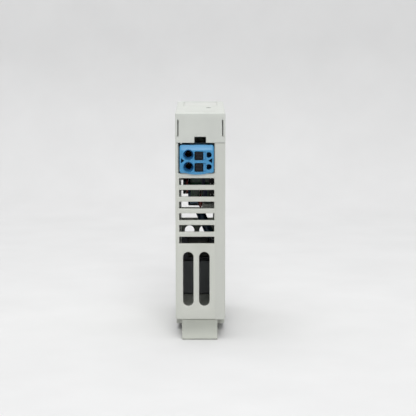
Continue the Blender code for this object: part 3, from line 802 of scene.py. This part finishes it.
def make_light_pipe():
    """Rod that carries the status light, its head flush with the cap, painted near-black as painted shade in
    the light pipe's hole.
    """
    low, high = span("light_pipe")[2]
    profile = [(0.7, low), (0.7, high - 1.9), (1.23, high - 1.6), (1.23, TOP_Z - 0.03), (1.16, TOP_Z)]
    rod = make_solid("light_pipe_rod", add_turned, profile, LED_PLACE, "Z", 28)
    # painted shade: near-black, standing for the shade seen in the light pipe's hole
    painted_shade_plastic = hazy_plastic("smoked_moulding", (20, 23, 22), (30, 33, 31), (0.4, 0.6), specular_ior_level=0.05)
    finish_piece(rod, painted_shade_plastic, "cap", ["light_pipe"])


# ---------------------------------------------------------------- rail latch
def make_rail_latch():
    """Foot with a curved finger scoop, the beam under the housing and the rail hook."""
    foot_top = BOTTOM_Z - 0.3
    scoop_y, scoop_z = -35.1, 2.6      # deepest point of the finger scoop
    lip_z = LOWEST_Z + 0.8
    toe_radius = 0.75
    upper = [(scoop_y - 1.5 * t ** 1.6, scoop_z + (foot_top - scoop_z) * t)
             for t in (1, 0.85, 0.7, 0.5, 0.3, 0.15)]
    lower = [(scoop_y - 3.1 * t ** 1.8, scoop_z - (scoop_z - lip_z) * t)
             for t in (i / 10 for i in range(11))]
    toe = arc((-37.45, LOWEST_Z + toe_radius), toe_radius, 180, 90, 5)
    outline = upper + lower + toe + [(-35.4, LOWEST_Z), (-34.0, LOWEST_Z + 1.2), (-34.0, foot_top)]
    mesh = solid(add_prism, outline, "X", *FOOT_X)
    round_edges(mesh, edges_level_in(mesh, "x"), 0.3, 3)
    latch = make_object("rail_latch_moulding", mesh)

    beam_low, beam_top = 2.6, 6.0
    join(latch, solid(add_box, (-6.1, 5.43), (-34.6, -18.0), (beam_low, beam_top), 0.2))
    centre = sum(FOOT_X) / 2
    join(latch, solid(add_prism, [
        (-20.2, beam_top), (-20.2, LOWEST_Z), (-HOOK_LIP_Y - 0.3, LOWEST_Z), (-HOOK_LIP_Y, LOWEST_Z + 0.3),
        (-HOOK_LIP_Y, HOOK_LIP_Z - 0.4), (-HOOK_LIP_Y - 0.4, HOOK_LIP_Z), (-HOOK_INNER_Y, HOOK_LIP_Z),
        (-HOOK_INNER_Y, beam_top),
    ], "X", centre - 7.5, centre + 7.5))
    pockets = solid(add_box, (-2.8, 2.2), (-31.0, -23.0), (beam_low - 1, beam_top + 1))
    add_prism(pockets, rectangle((-3.94, -0.24), (4.0, 5.4), 0.4, 4), "Y", -39.0, -35.85)
    cut(latch, pockets)
    tidy_mesh(latch)
    # painted shade: the latch gets the darker copy of the housing plastic
    finish_piece(latch, "latch_moulding", "latch", ["rail_latch"], 38)


def make_latch_spring():
    """Round-wire compression spring with closed ends, in the latch's pocket."""
    x, y, z = span("latch_spring")
    centre = (sum(x) / 2, sum(z) / 2)
    wire = 0.24
    radius = (x[1] - x[0]) / 2 - wire
    turns = 6.5
    steps = int(turns * 28)
    start, end = y[0] + wire, y[1] - wire
    path = []
    for step in range(steps + 1):
        t = step / steps
        spread = min(1.0, max(0.0, (t - 0.1) / 0.8))
        angle = 2 * math.pi * turns * t
        travel = start + 0.35 * t + (end - start - 0.35) * spread
        across, up = radius * math.cos(angle), radius * math.sin(angle)
        path.append((centre[0] + across, min(travel, end), centre[1] + up))
    spring = make_solid("latch_spring_wire", add_tube, path, wire, 10)
    finish_piece(spring, "spring_strip", "housing", ["latch_spring"], 60)


def make_earth_contact():
    """Bent strip that touches the rail and runs up to the board."""
    path = [(2.8, 0.35), (5.6, 0.35), (5.9, 0.5), (6.0, 0.8), (6.0, 17.4)]
    contact = make_solid("earth_contact_strip", add_prism, ribbon(path, 0.4), "Y", -2.0, 2.0)
    soften(contact, 0.08)
    finish_piece(contact, "contact_tin", "housing", ["earth_contact"])


# ---------------------------------------------------------------- plug
POLE_Z = (82.2, 76.8)
WIRE_X = -5.33
BUTTON_X = (-2.33, 1.07)
BUTTONS = ("upper_button", "lower_button")
COLLAR_HEIGHT = 0.1           # how far the wire funnels' collars stand proud of the face
PLUG_FACE = PLUG_Y[0] + COLLAR_HEIGHT
PLUG_BACK = PLUG_Y[1]
CHANNEL_X = (1.36, 2.6)       # shallow channels beside the buttons
TEST_HOLE_X = 3.8
TEST_HOLE_RADIUS = 1.3
MARK_Z = 79.66                # level of the two arrow marks between the poles
CHIN_RADIUS = 19.0
PIN_WIDTH = 0.9


def test_hole_outline(centre):
    """A round hole with a flat on its left, like the letter D."""
    return arc((TEST_HOLE_X, centre), TEST_HOLE_RADIUS, -139, 278, 22)


def plug_body_mesh():
    """The plug's rounded block, with a sloped top edge."""
    low, high = PLUG_Z
    left, right = PLUG_X
    rings = [
        # inset of the sides, of the bottom and of the top, corner radius, depth behind the face
        (0.50, 0.42, 2.45, 0.7, 0.0), (0.16, 0.12, 2.05, 0.8, 0.12), (0.0, 0.0, 1.5, 0.9, 0.38),
        (0.0, 0.0, 0.35, 1.0, 0.9), (0.0, 0.0, 0.0, 0.9, 1.3), (0.0, 0.0, 0.0, 0.9, PLUG_BACK - PLUG_FACE),
    ]
    return solid(add_loft, [
        (rectangle((left + sides, right - sides), (low + bottom, high - top), radius, 5), PLUG_FACE + depth)
        for sides, bottom, top, radius, depth in rings
    ], "Y")


def plug_chin_mesh():
    """The curved lower lip that stands out over the end face."""
    low = PLUG_Z[0]
    half_width = 5.95
    half_sweep = math.degrees(math.asin(half_width / CHIN_RADIUS))
    sweep = arc((-1.55, low - 0.8 + CHIN_RADIUS), CHIN_RADIUS, 270 - half_sweep, 2 * half_sweep, 20)
    outline = [(-7.3, low + 0.6), *sweep, (4.2, low + 0.6)]
    smaller = [(u * 0.97 - 0.05, v + 0.12) for u, v in outline]
    return solid(add_loft, [
        (outline, -END_Y - 0.12), (outline, PLUG_FACE + 0.45), (smaller, PLUG_FACE + 0.2),
    ], "Y")


def make_plug_housing():
    """Blue two-pole plug: sloped top edge, wire funnels, button slots, test holes, pockets."""
    plug = make_object("plug_housing_moulding", plug_body_mesh())
    join(plug, plug_chin_mesh())

    collars, chambers, funnels, holes, shallow = (bmesh.new() for _ in range(5))
    for centre in POLE_Z:
        pole = (WIRE_X, centre)
        add_turned(collars, [
            (2.6, PLUG_FACE + 0.5), (2.6, PLUG_FACE - 0.04), (2.54, PLUG_FACE - COLLAR_HEIGHT),
        ], pole, "Y", 44)
        add_box(chambers, (-7.4, 1.2), (-33.0, PLUG_BACK + 1), (centre - 2.0, centre + 2.0))
        add_turned(funnels, [
            (2.44, PLUG_FACE - 1), (2.44, PLUG_FACE - COLLAR_HEIGHT), (2.36, PLUG_FACE),
            (2.3, PLUG_FACE + 0.3), (2.25, PLUG_FACE + 1.2), (1.5, PLUG_FACE + 4.4), (1.45, -32.0),
        ], pole, "Y", 40)
        add_prism(holes, test_hole_outline(centre + 0.05), "Y", PLUG_FACE - 1, PLUG_FACE + 11)
    for name in BUTTONS:
        z = span(name)[2]
        x = (BUTTON_X[0] - 0.15, BUTTON_X[1] + 0.15)
        mouth, shaft = rectangle(x, z, 0.3, 3, 0.3), rectangle(x, z, 0.3, 3, 0.15)
        add_loft(holes, [
            (mouth, PLUG_FACE - 1), (mouth, PLUG_FACE), (shaft, PLUG_FACE + 0.15), (shaft, -30.2),
        ], "Y")
        add_box(shallow, CHANNEL_X, (PLUG_FACE - 1, PLUG_FACE + 0.55), (z[0] - 0.15, z[1] + 0.15))
    for base, tip in ((-8.7, -7.15), (5.35, 3.5)):
        arrow = [(base, MARK_Z - 1.2), (tip, MARK_Z), (base, MARK_Z + 1.2)]
        add_prism(shallow, arrow, "Y", PLUG_FACE - 1, PLUG_FACE + 6)
    join(plug, collars)
    for cutters in (chambers, funnels, holes, shallow):
        cut(plug, cutters)
    tidy_mesh(plug)
    finish_piece(plug, "plug_moulding", "plug", ["plug_housing"])


def make_button(name, body):
    """Release button with a screwdriver slot and rounded edges."""
    x, y, z = span(name)
    mesh = solid(add_box, x, y, z)
    front = edges_where(mesh, lambda co: near(co.y, y[0]))
    round_edges(mesh, front + edges_level_in(mesh, "xz"), 0.35, 3)
    button = make_object(name + "_moulding", mesh)
    middle = sum(z) / 2
    grooves = solid(add_box, (x[0] - 1, x[1] + 1), (y[0] - 1, y[0] + 0.45), (middle - 0.42, middle + 0.42))
    for level in (middle - 1.2, middle + 1.2):
        add_box(grooves, (x[0] + 0.6, x[1] - 0.6), (y[0] - 1, y[0] + 0.2), (level - 0.15, level + 0.15))
    cut(button, grooves)
    tidy_mesh(button)
    finish_piece(button, "button_moulding", body, [name])


def make_clamp_spring(place, centre):
    bend_y, radius = -27.8, 2.1
    curve = arc((-1.4, bend_y), radius, -90, 180, 16)
    path = [(-3.6, bend_y - radius), *curve, (-3.6, bend_y + radius)]
    spring = make_solid(place + "_clamp_spring_strip", add_prism, ribbon(path, 0.35), "Z",
                        centre - 1.3, centre + 1.3)
    soften(spring, 0.07)
    finish_piece(spring, "spring_strip", "plug", [place + "_clamp_spring"], 45)


def make_clamp_cage(place, centre):
    """The channel that the clamp pulls the wire against, and the cage's back with the pin's hole."""
    x, y, z = span(place + "_contact")
    wall = 0.5
    mouth_y = y[0] + 3.4      # well behind the funnel, so the mouth stays dark
    channel = [
        (x[0], z[0]), (x[1], z[0]), (x[1], z[0] + wall), (x[0] + 0.6, z[0] + wall),
        (x[0] + 0.6, z[1] - wall), (x[1], z[1] - wall), (x[1], z[1]), (x[0], z[1]),
    ]
    contact = make_solid(place + "_contact_strip", add_prism, channel, "Y", mouth_y, y[1])
    soften(contact, 0.1)
    # painted shade: the contact is tin painted dark so the funnel stays dark
    finish_piece(contact, "aged_contact", "plug", [place + "_contact"])

    half_entry = PIN_WIDTH / 2 + 0.07
    plate = make_solid(place + "_cage_back_plate", add_box, (-7.25, -3.75), (-24.5, -24.2),
                       (centre - 1.85, centre + 1.85))
    cut(plate, solid(add_box, (WIRE_X - half_entry, WIRE_X + half_entry), (-26.0, -23.0),
                     (centre - half_entry, centre + half_entry)))
    # painted shade: the plate is tin painted dark, as in the funnels
    finish_piece(plate, "aged_contact", "plug")


def make_header_pin(place, centre):
    x, y = span(place + "_header_pin")[:2]
    half = PIN_WIDTH / 2
    path = [(WIRE_X, y[0]), (WIRE_X, y[1] - half), (x[1], y[1] - half)]
    pin = make_solid(place + "_header_pin_bar", add_prism, ribbon(path, PIN_WIDTH), "Z",
                     centre - half, centre + half)
    soften(pin, 0.12)
    # painted shade: the pin is tin painted dark, as in the funnels
    finish_piece(pin, "aged_contact", "housing", [place + "_header_pin"])


def make_header_block():
    """Block that holds the header pins, with a shallow pocket beside each."""
    x, y, z = span("header_block")
    block = make_solid("header_block_moulding", add_box, x, y, z, 0.25)
    half_hole = PIN_WIDTH / 2 + 0.1
    details = bmesh.new()
    for centre in POLE_Z:
        add_box(details, (WIRE_X - half_hole, WIRE_X + half_hole), (y[0] - 1, y[1] + 1),
                (centre - half_hole, centre + half_hole))
        add_box(details, (-1.0, 3.4), (y[0] - 1, y[0] + 1.2), (centre - 1.8, centre + 1.8))
    cut(block, details)
    finish_piece(block, "header_moulding", "housing", ["header_block"])


# ---------------------------------------------------------------- electronics
HOLE_PITCH = 2.54


def make_board(node):
    """A laminate sheet with eased edges."""
    board = make_solid(node + "_laminate", add_box, *span(node), 0.12, 1)
    finish_piece(board, board_laminate(), "housing", [node])


def make_plated_holes():
    """Rings of tin round the through-holes of the main board, on its component side."""
    face = BOARD_FACE - 0.015
    ring = [(0.62, face - 0.04), (0.7, face), (0.7, face + 0.1)]
    rings = bmesh.new()
    # place along Y, lowest hole and number of holes in each double row
    rows = ((-26.0, 70.0, 6), (-8.0, 45.0, 4), (0.5, 20.0, 8), (28.0, 64.0, 5), (-24.0, 16.0, 5))
    for y, low, count in rows:
        for i in range(count):
            for shift in (0.0, HOLE_PITCH):
                add_turned(rings, ring, (y + shift, low + i * HOLE_PITCH), "X", 14)
    finish_metal("board_plated_holes", rings, "solder")


def make_small_parts():
    """Chip resistors and capacitors with tinned ends, on a loose grid over the main board."""
    draw = random.Random(11)
    bodies, ends = bmesh.new(), bmesh.new()
    face = BOARD_FACE - 0.02
    margin = 2
    under_bulk_capacitor = ((-9.0, 6.0), (53.0, 68.0))
    taken = [span(node)[1:] for node in (
        "output_relay", "power_transformer", "microcontroller", "memory_chip", "bus_driver_chip",
        "regulator_chip", "header_block", "board_connector", "interface_board", "input_choke")]
    taken.append(under_bulk_capacitor)
    for row in range(14):
        for column in range(12):
            y = -31.0 + column * 5.4 + draw.uniform(-0.9, 0.9)
            z = 12.0 + row * 5.1 + draw.uniform(-0.8, 0.8)
            upright = draw.random() < 0.5
            if any(by[0] - margin < y < by[1] + margin and bz[0] - margin < z < bz[1] + margin
                   for by, bz in taken) or draw.random() < 0.25:
                continue
            long, wide, tall = draw.choice([(1.0, 0.62, 0.55), (0.8, 0.5, 0.45), (1.6, 0.8, 0.6)])
            half = (wide, long) if upright else (long, wide)
            body = [(middle - size * 0.72, middle + size * 0.72) for middle, size in zip((y, z), half)]
            add_box(bodies, (face - tall, face - 0.02), *body, 0.06, 1)
            along = 1 if upright else 0
            for side in (-1, 1):
                end = [(y - half[0], y + half[0]), (z - half[1], z + half[1])]
                centre = (y, z)[along] + side * half[along] * 0.86
                end[along] = (centre - half[along] * 0.14, centre + half[along] * 0.14)
                add_box(ends, (face - tall - 0.03, face), *end, 0.05, 1)
    finish_piece(make_object("board_chip_parts", bodies), "ceramic_body", "housing")
    finish_metal("board_chip_part_ends", ends)


def make_chip(node, leads_per_side):
    """A moulded chip with gull-wing leads along two sides, and a pin-one dimple."""
    x, y, z = span(node)
    body_y = (y[0] + 0.75, y[1] - 0.75)
    low, high = z[0] + 0.1, z[1] - 0.1
    chip = make_solid(node + "_package", add_box, (x[0], x[1] - 0.15), body_y, (low, high), 0.14, 2)
    dimple = [(0.45, x[0] - 1), (0.45, x[0] + 0.12)]
    cut(chip, solid(add_turned, dimple, (body_y[0] + 1.0, high - 1.0), "X", 20))
    finish_piece(chip, "chip_epoxy", "housing", [node])

    leads = bmesh.new()
    middle, foot = sum(x) / 2, x[1] - 0.1
    for i in range(leads_per_side):
        place = low + (high - low) * (i + 0.5) / leads_per_side
        for side, edge in zip((-1, 1), body_y):
            path = [(middle, edge - side * 0.2), (middle, edge + side * 0.25),
                    (foot, edge + side * 0.4), (foot, edge + side * 0.74)]
            add_prism(leads, ribbon(path, 0.14), "Z", place - 0.17, place + 0.17)
    finish_metal(node + "_leads", leads)


def make_board_connector():
    """Two-column pin header: a grooved strip and square pins."""
    x, y, z = span("board_connector")
    front = y[0] + 0.4
    strip = make_solid("board_connector_moulding", add_box, x, (front, y[1]), z, 0.15)
    grooves, pins = bmesh.new(), bmesh.new()
    for row in range(6):
        level = z[0] + 1.3 + row * HOLE_PITCH
        for pin_x in (4.7, 6.2):
            add_box(pins, (pin_x - 0.3, pin_x + 0.3), (y[0], front + 0.5), (level - 0.3, level + 0.3), 0.1)
        if row < 5:
            between = level + HOLE_PITCH / 2
            add_box(grooves, (x[0] - 1, x[1] + 1), (front - 1, front + 0.3), (between - 0.2, between + 0.2))
    cut(strip, grooves)
    finish_piece(strip, "connector_moulding", "housing", ["board_connector"])
    finish_metal("board_connector_pins", pins)


def make_output_relay():
    """Sealed relay: a rounded case on a wider moulded foot; its grey is painted light on a black case."""
    x, y, z = span("output_relay")
    case = solid(add_box, (x[0], x[1] - 0.9), (y[0] + 0.3, y[1] - 0.3), (z[0], z[1] - 0.3), 0.5, 3)
    relay = make_object("output_relay_case", case)
    join(relay, solid(add_box, (x[1] - 1.4, x[1]), y, z, 0.2))
    finish_piece(relay, "relay_case", "housing", ["output_relay"])


def make_power_transformer():
    """Ferrite core halves round a taped winding; the core's light grey is painted light on dark ferrite."""
    x, y, z = span("power_transformer")
    core = make_solid("power_transformer_core", add_box, x, y, z, 0.3, 2)
    window_x = (x[0] + 2.8, x[1] - 2.8)
    windows = solid(add_box, window_x, (y[0] - 1, y[0] + 3.0), (z[0] + 1.2, z[1] + 1))
    add_box(windows, window_x, (y[0] + 3.4, y[1] - 3.4), (z[1] - 1.0, z[1] + 1))
    cut(core, windows)
    finish_piece(core, "core_ferrite", "housing", ["power_transformer"])
    winding_x, winding_z = (x[0] + 3.0, x[1] - 3.0), (z[0] + 1.4, z[1] - 0.4)
    winding_y = (y[0] + 0.5, y[0] + 2.9)
    winding = make_solid("power_transformer_winding", add_box, winding_x, winding_y, winding_z, 0.5, 3)
    finish_piece(winding, winding_tape(), "housing")


def make_bulk_capacitor():
    """Radial can lying on its side: crimped sleeve, scored vent and a pale stripe."""
    x, y, z = span("bulk_capacitor")
    centre = (sum(y) / 2, sum(z) / 2)
    radius = (y[1] - y[0]) / 2
    roll = [(radius - 0.55 + 0.55 * math.sin(math.radians(a)), x[0] + 0.55 - 0.55 * math.cos(math.radians(a)))
            for a in range(0, 91, 15)]
    crimp = [(radius - 0.45 * math.sin(math.radians(a)), x[1] - 2.2 + 0.9 * a / 180)
             for a in range(0, 181, 20)]
    profile = [(radius - 1.3, x[0] + 0.25), (radius - 1.0, x[0] + 0.02), *roll, *crimp,
               (radius, x[1] - 0.3), (radius - 0.3, x[1])]
    can = make_solid("bulk_capacitor_sleeve", add_turned, profile, centre, "X", 56)
    cut(can, solid(add_turned, [(radius - 1.4, x[0] - 1), (radius - 1.4, x[0] + 0.3)], centre, "X", 48))
    finish_piece(can, capacitor_sleeve(), "housing", ["bulk_capacitor"], 40)

    profile = [(radius - 1.7, x[0] + 0.08), (radius - 1.45, x[0] + 0.14), (radius - 1.45, x[0] + 0.29)]
    disc = make_solid("bulk_capacitor_can_end", add_turned, profile, centre, "X", 48)
    score_x = (x[0] - 1, x[0] + 0.16)
    for half_y, half_z in ((3.4, 0.16), (0.16, 3.4)):
        cut(disc, solid(add_box, score_x, (centre[0] - half_y, centre[0] + half_y),
                        (centre[1] - half_z, centre[1] + half_z)))
    finish_piece(disc, "can_aluminium", "housing")

    outer, inner = (arc(centre, level, 196, 34, 12) for level in (radius + 0.06, radius - 0.2))
    stripe = solid(add_prism, outer + inner[::-1], "X", x[0] + 0.9, x[1] - 2.5)
    finish_piece(make_object("bulk_capacitor_stripe", stripe), "sleeve_stripe", "housing")


def make_leaning_capacitor():
    """Radial can on bent leads, tilted off the board."""
    lean = Matrix.Translation((5.2, 3.5, 38.3)) @ Matrix.Rotation(math.radians(-24), 4, "Y")
    can = solid(add_turned, [
        (1.6, 0.0), (1.95, 0.1), (2.1, 0.4), (2.1, 1.0), (1.97, 1.25), (1.97, 1.45), (2.1, 1.7),
        (2.1, 13.0), (2.0, 13.35), (1.7, 13.5),
    ], (0.0, 0.0), "Z", 40)
    bmesh.ops.transform(can, matrix=lean, verts=can.verts)
    sleeve = make_object("leaning_capacitor_sleeve", can)
    finish_piece(sleeve, capacitor_sleeve(), "housing", ["leaning_capacitor"], 40)
    starts = [lean @ Vector((0.0, side, 0.1)) for side in (-0.8, 0.8)]
    make_leads("leaning_capacitor_leads", [
        [start, start + Vector((0.2, 0, -0.9)), (BOARD_FACE - 0.6, start.y, start.z - 1.5),
         (BOARD_FACE - 0.02, start.y, start.z - 1.6)] for start in starts
    ], 0.25)


def make_input_discs():
    """Input protection as two discs on edge: a dark disc that is painted shade for the varistor's shaded
    side, and a dipped varistor.
    """
    centre = (-21.0, 66.3)
    radius, rim = 3.9, 0.2
    discs = (
        # the first disc is painted shade: a near-black disc standing for the shaded side of the varistor
        ("inrush_thermistor_disc", "chip_epoxy", "black_part", (-7.95, -6.8), ()),
        ("varistor_disc", "dipped_epoxy", "red_coating", (-6.74, -5.66), ("varistor",)),
    )
    for name, coating, slot, (left, right), nodes in discs:
        profile = (arc((radius - rim, left + rim), rim, 270, 90, 5)
                   + arc((radius - rim, right - rim), rim, 0, 90, 5))
        disc = make_solid(name, add_turned, profile, centre, "X", 44)
        finish_piece(disc, coating, "housing", nodes, 60)
    board = BOARD_FACE - 0.02
    paths = [[(-6.0, y, 65.35), (-5.4, y, 65.3), (board, y, 65.25)] for y in (-23.2, -18.9)]
    # leads of the dark painted-shade disc
    for y in (-25.3, -16.7):
        start_y = centre[0] + math.copysign(3.5, y - centre[0])
        paths.append([(-7.4, start_y, 65.8), (-7.3, y, 65.7), (-6.8, y, 65.6), (board, y, 65.5)])
    make_leads("input_disc_leads", paths, 0.28)


def make_film_capacitors():
    """Two small boxed film capacitors on the upright interface board."""
    mesh = solid(add_box, (0.7, 2.15), (INTERFACE_FACE - 1.5, INTERFACE_FACE - 0.03), (64.6, 72.4), 0.2)
    add_box(mesh, (1.35, 3.2), (INTERFACE_FACE - 1.6, INTERFACE_FACE - 0.03), (59.3, 63.5), 0.2)
    finish_piece(make_object("film_capacitor_pair", mesh), "film_case", "housing")


def make_dipped_capacitor():
    """Drop-shaped bead that hangs by its leads from the interface board."""
    x, y, (foot, top) = span("dipped_capacitor")
    centre_x, centre_y = sum(x) / 2, sum(y) / 2
    low = foot + 0.7
    profile = []
    for i in range(15):
        t = i / 14
        radius = 1.13 * math.sin(math.pi * min(1.0, t ** 0.8)) ** 0.8 if 0 < t < 1 else 0.12
        profile.append((max(0.14, radius), low + (top - low) * t))
    bead = make_solid("dipped_capacitor_bead", add_turned, profile, (centre_x, centre_y), "Z", 32)
    finish_piece(bead, "dipped_epoxy", "housing", ["dipped_capacitor"], 70)
    make_leads("dipped_capacitor_leads", [
        [(lead_x, centre_y, top - 0.9), (lead_x, centre_y, top + 0.5),
         (lead_x, centre_y + 0.5, top + 1.3), (lead_x, INTERFACE_FACE - 0.02, top + 1.4)]
        for lead_x in (centre_x - 0.45, centre_x + 0.45)
    ], 0.2)


def make_input_choke():
    """Pressed-powder choke: rounded block, waist grooves and two wrapped terminals."""
    x, y, z = span("input_choke")
    core = make_solid("input_choke_core", add_box, (x[0], x[1] - 0.25), y, z, 0.35, 3)
    waist = bmesh.new()
    for edge in z:
        add_box(waist, (x[0] + 1.4, x[1] - 1.4), (y[0] - 1, y[1] + 1), (edge - 0.4, edge + 0.4))
    cut(core, waist)
    finish_piece(core, "ferrite", "housing", ["input_choke"])
    terminals = bmesh.new()
    outer_x, top = x[1] - 0.1, z[1] + 0.12
    path = [(outer_x, z[0] + 0.6), (outer_x, top), (outer_x - 1, top)]
    for centre in (sum(y) / 2 - 1.7, sum(y) / 2 + 1.7):
        add_prism(terminals, ribbon(path, 0.2), "Y", centre - 0.5, centre + 0.5)
    finish_metal("input_choke_terminals", terminals)


def make_input_fuse():
    """Ceramic tube with end caps and bent leads."""
    x, y, z = span("input_fuse")
    centre = (sum(x) / 2, sum(y) / 2)
    profile = [(1.42, z[0] + 1.6), (1.45, z[0] + 1.9), (1.45, z[1] - 1.9), (1.42, z[1] - 1.6)]
    tube = make_solid("input_fuse_tube", add_turned, profile, centre, "Z", 36)
    finish_piece(tube, "fuse_ceramic", "housing", ["input_fuse"])
    caps = bmesh.new()
    cap_profile = ((1.45, 0.0), (1.62, 0.1), (1.7, 0.35), (1.7, 1.9), (1.5, 2.15), (1.46, 2.2))
    for end, way in ((z[0], 1), (z[1], -1)):
        add_turned(caps, [(radius, end + way * depth) for radius, depth in cap_profile], centre, "Z", 36)
        add_tube(caps, [(*centre, end + way * 0.3), (*centre, end - way * 0.7),
                        (centre[0] + 0.5, centre[1], end - way * 1.3),
                        (BOARD_FACE - 0.02, centre[1], end - way * 1.4)], 0.3)
    finish_metal("input_fuse_caps", caps, sharp=40)


def make_status_led():
    """Clear round lens under the light pipe, on two bent leads."""
    base, radius = 81.4, 1.4
    dome_z = LED_Z[1] - radius
    dome = [(radius * math.cos(math.radians(a)), dome_z + radius * math.sin(math.radians(a)))
            for a in range(0, 86, 12)]
    profile = [(1.6, base), (1.6, base + 0.7), (radius, base + 0.8), *dome]
    lens = make_solid("status_led_lens", add_turned, profile, LED_PLACE, "Z", 32)
    clear = hazy_plastic("clear_moulding", (206, 212, 206), (226, 230, 226), (0.08, 0.2),
                         ior=1.49, transmission_weight=0.75)
    finish_piece(lens, clear, "housing", ["status_led"], 40)
    led_x, led_y = LED_PLACE
    make_leads("status_led_leads", [
        [(led_x, y, base + 0.3), (led_x, y, 80.3), (led_x + 0.4, y, 79.9), (BOARD_FACE - 0.02, y, 79.9)]
        for y in (led_y - 0.9, led_y + 0.9)
    ], 0.22)


# ---------------------------------------------------------------- stage, light and camera
def make_stage():
    """A pale floor that sweeps up into the backdrop behind the object. Sizes are in metres."""
    floor = LOWEST_Z * MM
    start, radius = 0.33, 0.12
    sweep = arc((start, floor + radius), radius, 270, 90, 15)
    profile = [(-1.6, floor), *sweep, (start + radius, 2.2)]
    mesh = bmesh.new()
    rows = [[mesh.verts.new((x, y, z)) for x in (-2.5, 2.5)] for y, z in profile]
    for near_row, far_row in zip(rows, rows[1:]):
        mesh.faces.new((near_row[0], near_row[1], far_row[1], far_row[0]))
    stage = make_object("studio_floor", mesh)
    paper = Surface("studio_paper", 0.85)
    paper.colour(paper.two_tone(paper.noise(40.0, 3.0), (228, 228, 228), (232, 232, 232)))
    stage.data.materials.append(paper.material)
    stage.data.shade_smooth()


def add_area_light(name, place, size, power):
    """A rectangular lamp that points at the middle of the object."""
    middle = Vector((0.0, 0.0, 0.05))
    data = bpy.data.lights.new(name, "AREA")
    data.shape = "RECTANGLE"
    data.size, data.size_y = size
    data.energy = power
    light = bpy.data.objects.new(name, data)
    light.location = place
    light.rotation_euler = (middle - Vector(place)).to_track_quat("-Z", "Y").to_euler()
    bpy.context.scene.collection.objects.link(light)


def make_lights():
    add_area_light("overhead_softbox", (-0.1, -0.1, 1.25), (1.3, 1.1), 10.5)
    add_area_light("front_softbox", (0.1, -1.0, 0.92), (0.55, 0.45), 5.8)
    add_area_light("side_fill", (1.3, -0.5, 0.6), (0.8, 0.8), 0.6)
    world = bpy.data.worlds.new("studio")
    world.use_nodes = True
    background = world.node_tree.nodes["Background"]
    background.inputs["Color"].default_value = (0.98, 0.99, 1.0, 1.0)
    background.inputs["Strength"].default_value = 0.24
    bpy.context.scene.world = world


def make_camera():
    data = bpy.data.cameras.new("camera")
    data.lens = 125.74
    data.sensor_width = 36.0
    camera = bpy.data.objects.new("camera", data)
    camera.location = (0.00076, -0.6865, 0.151)
    camera.rotation_euler = (math.radians(81.853), 0.0, math.radians(-0.237))
    bpy.context.scene.collection.objects.link(camera)
    bpy.context.scene.camera = camera
    bpy.context.scene.view_settings.view_transform = "Standard"


def main():
    make_camera()
    make_housing_shell()
    make_side_cover()
    make_window_blank()
    make_front_cap()
    make_marker_strip()
    make_light_pipe()
    make_rail_latch()
    make_latch_spring()
    make_earth_contact()
    make_plug_housing()
    for place, centre in zip(("upper", "lower"), POLE_Z):
        make_button(place + "_button", place + "_release")
        make_clamp_spring(place, centre)
        make_clamp_cage(place, centre)
        make_header_pin(place, centre)
    make_header_block()
    for node in ("main_board", "interface_board"):
        make_board(node)
    make_plated_holes()
    make_small_parts()
    make_chip("microcontroller", 10)
    for node in ("memory_chip", "bus_driver_chip", "regulator_chip"):
        make_chip(node, 4)
    make_board_connector()
    make_output_relay()
    make_power_transformer()
    make_bulk_capacitor()
    make_leaning_capacitor()
    make_input_discs()
    make_film_capacitors()
    make_dipped_capacitor()
    make_input_choke()
    make_input_fuse()
    make_status_led()
    make_stage()
    make_lights()


main()
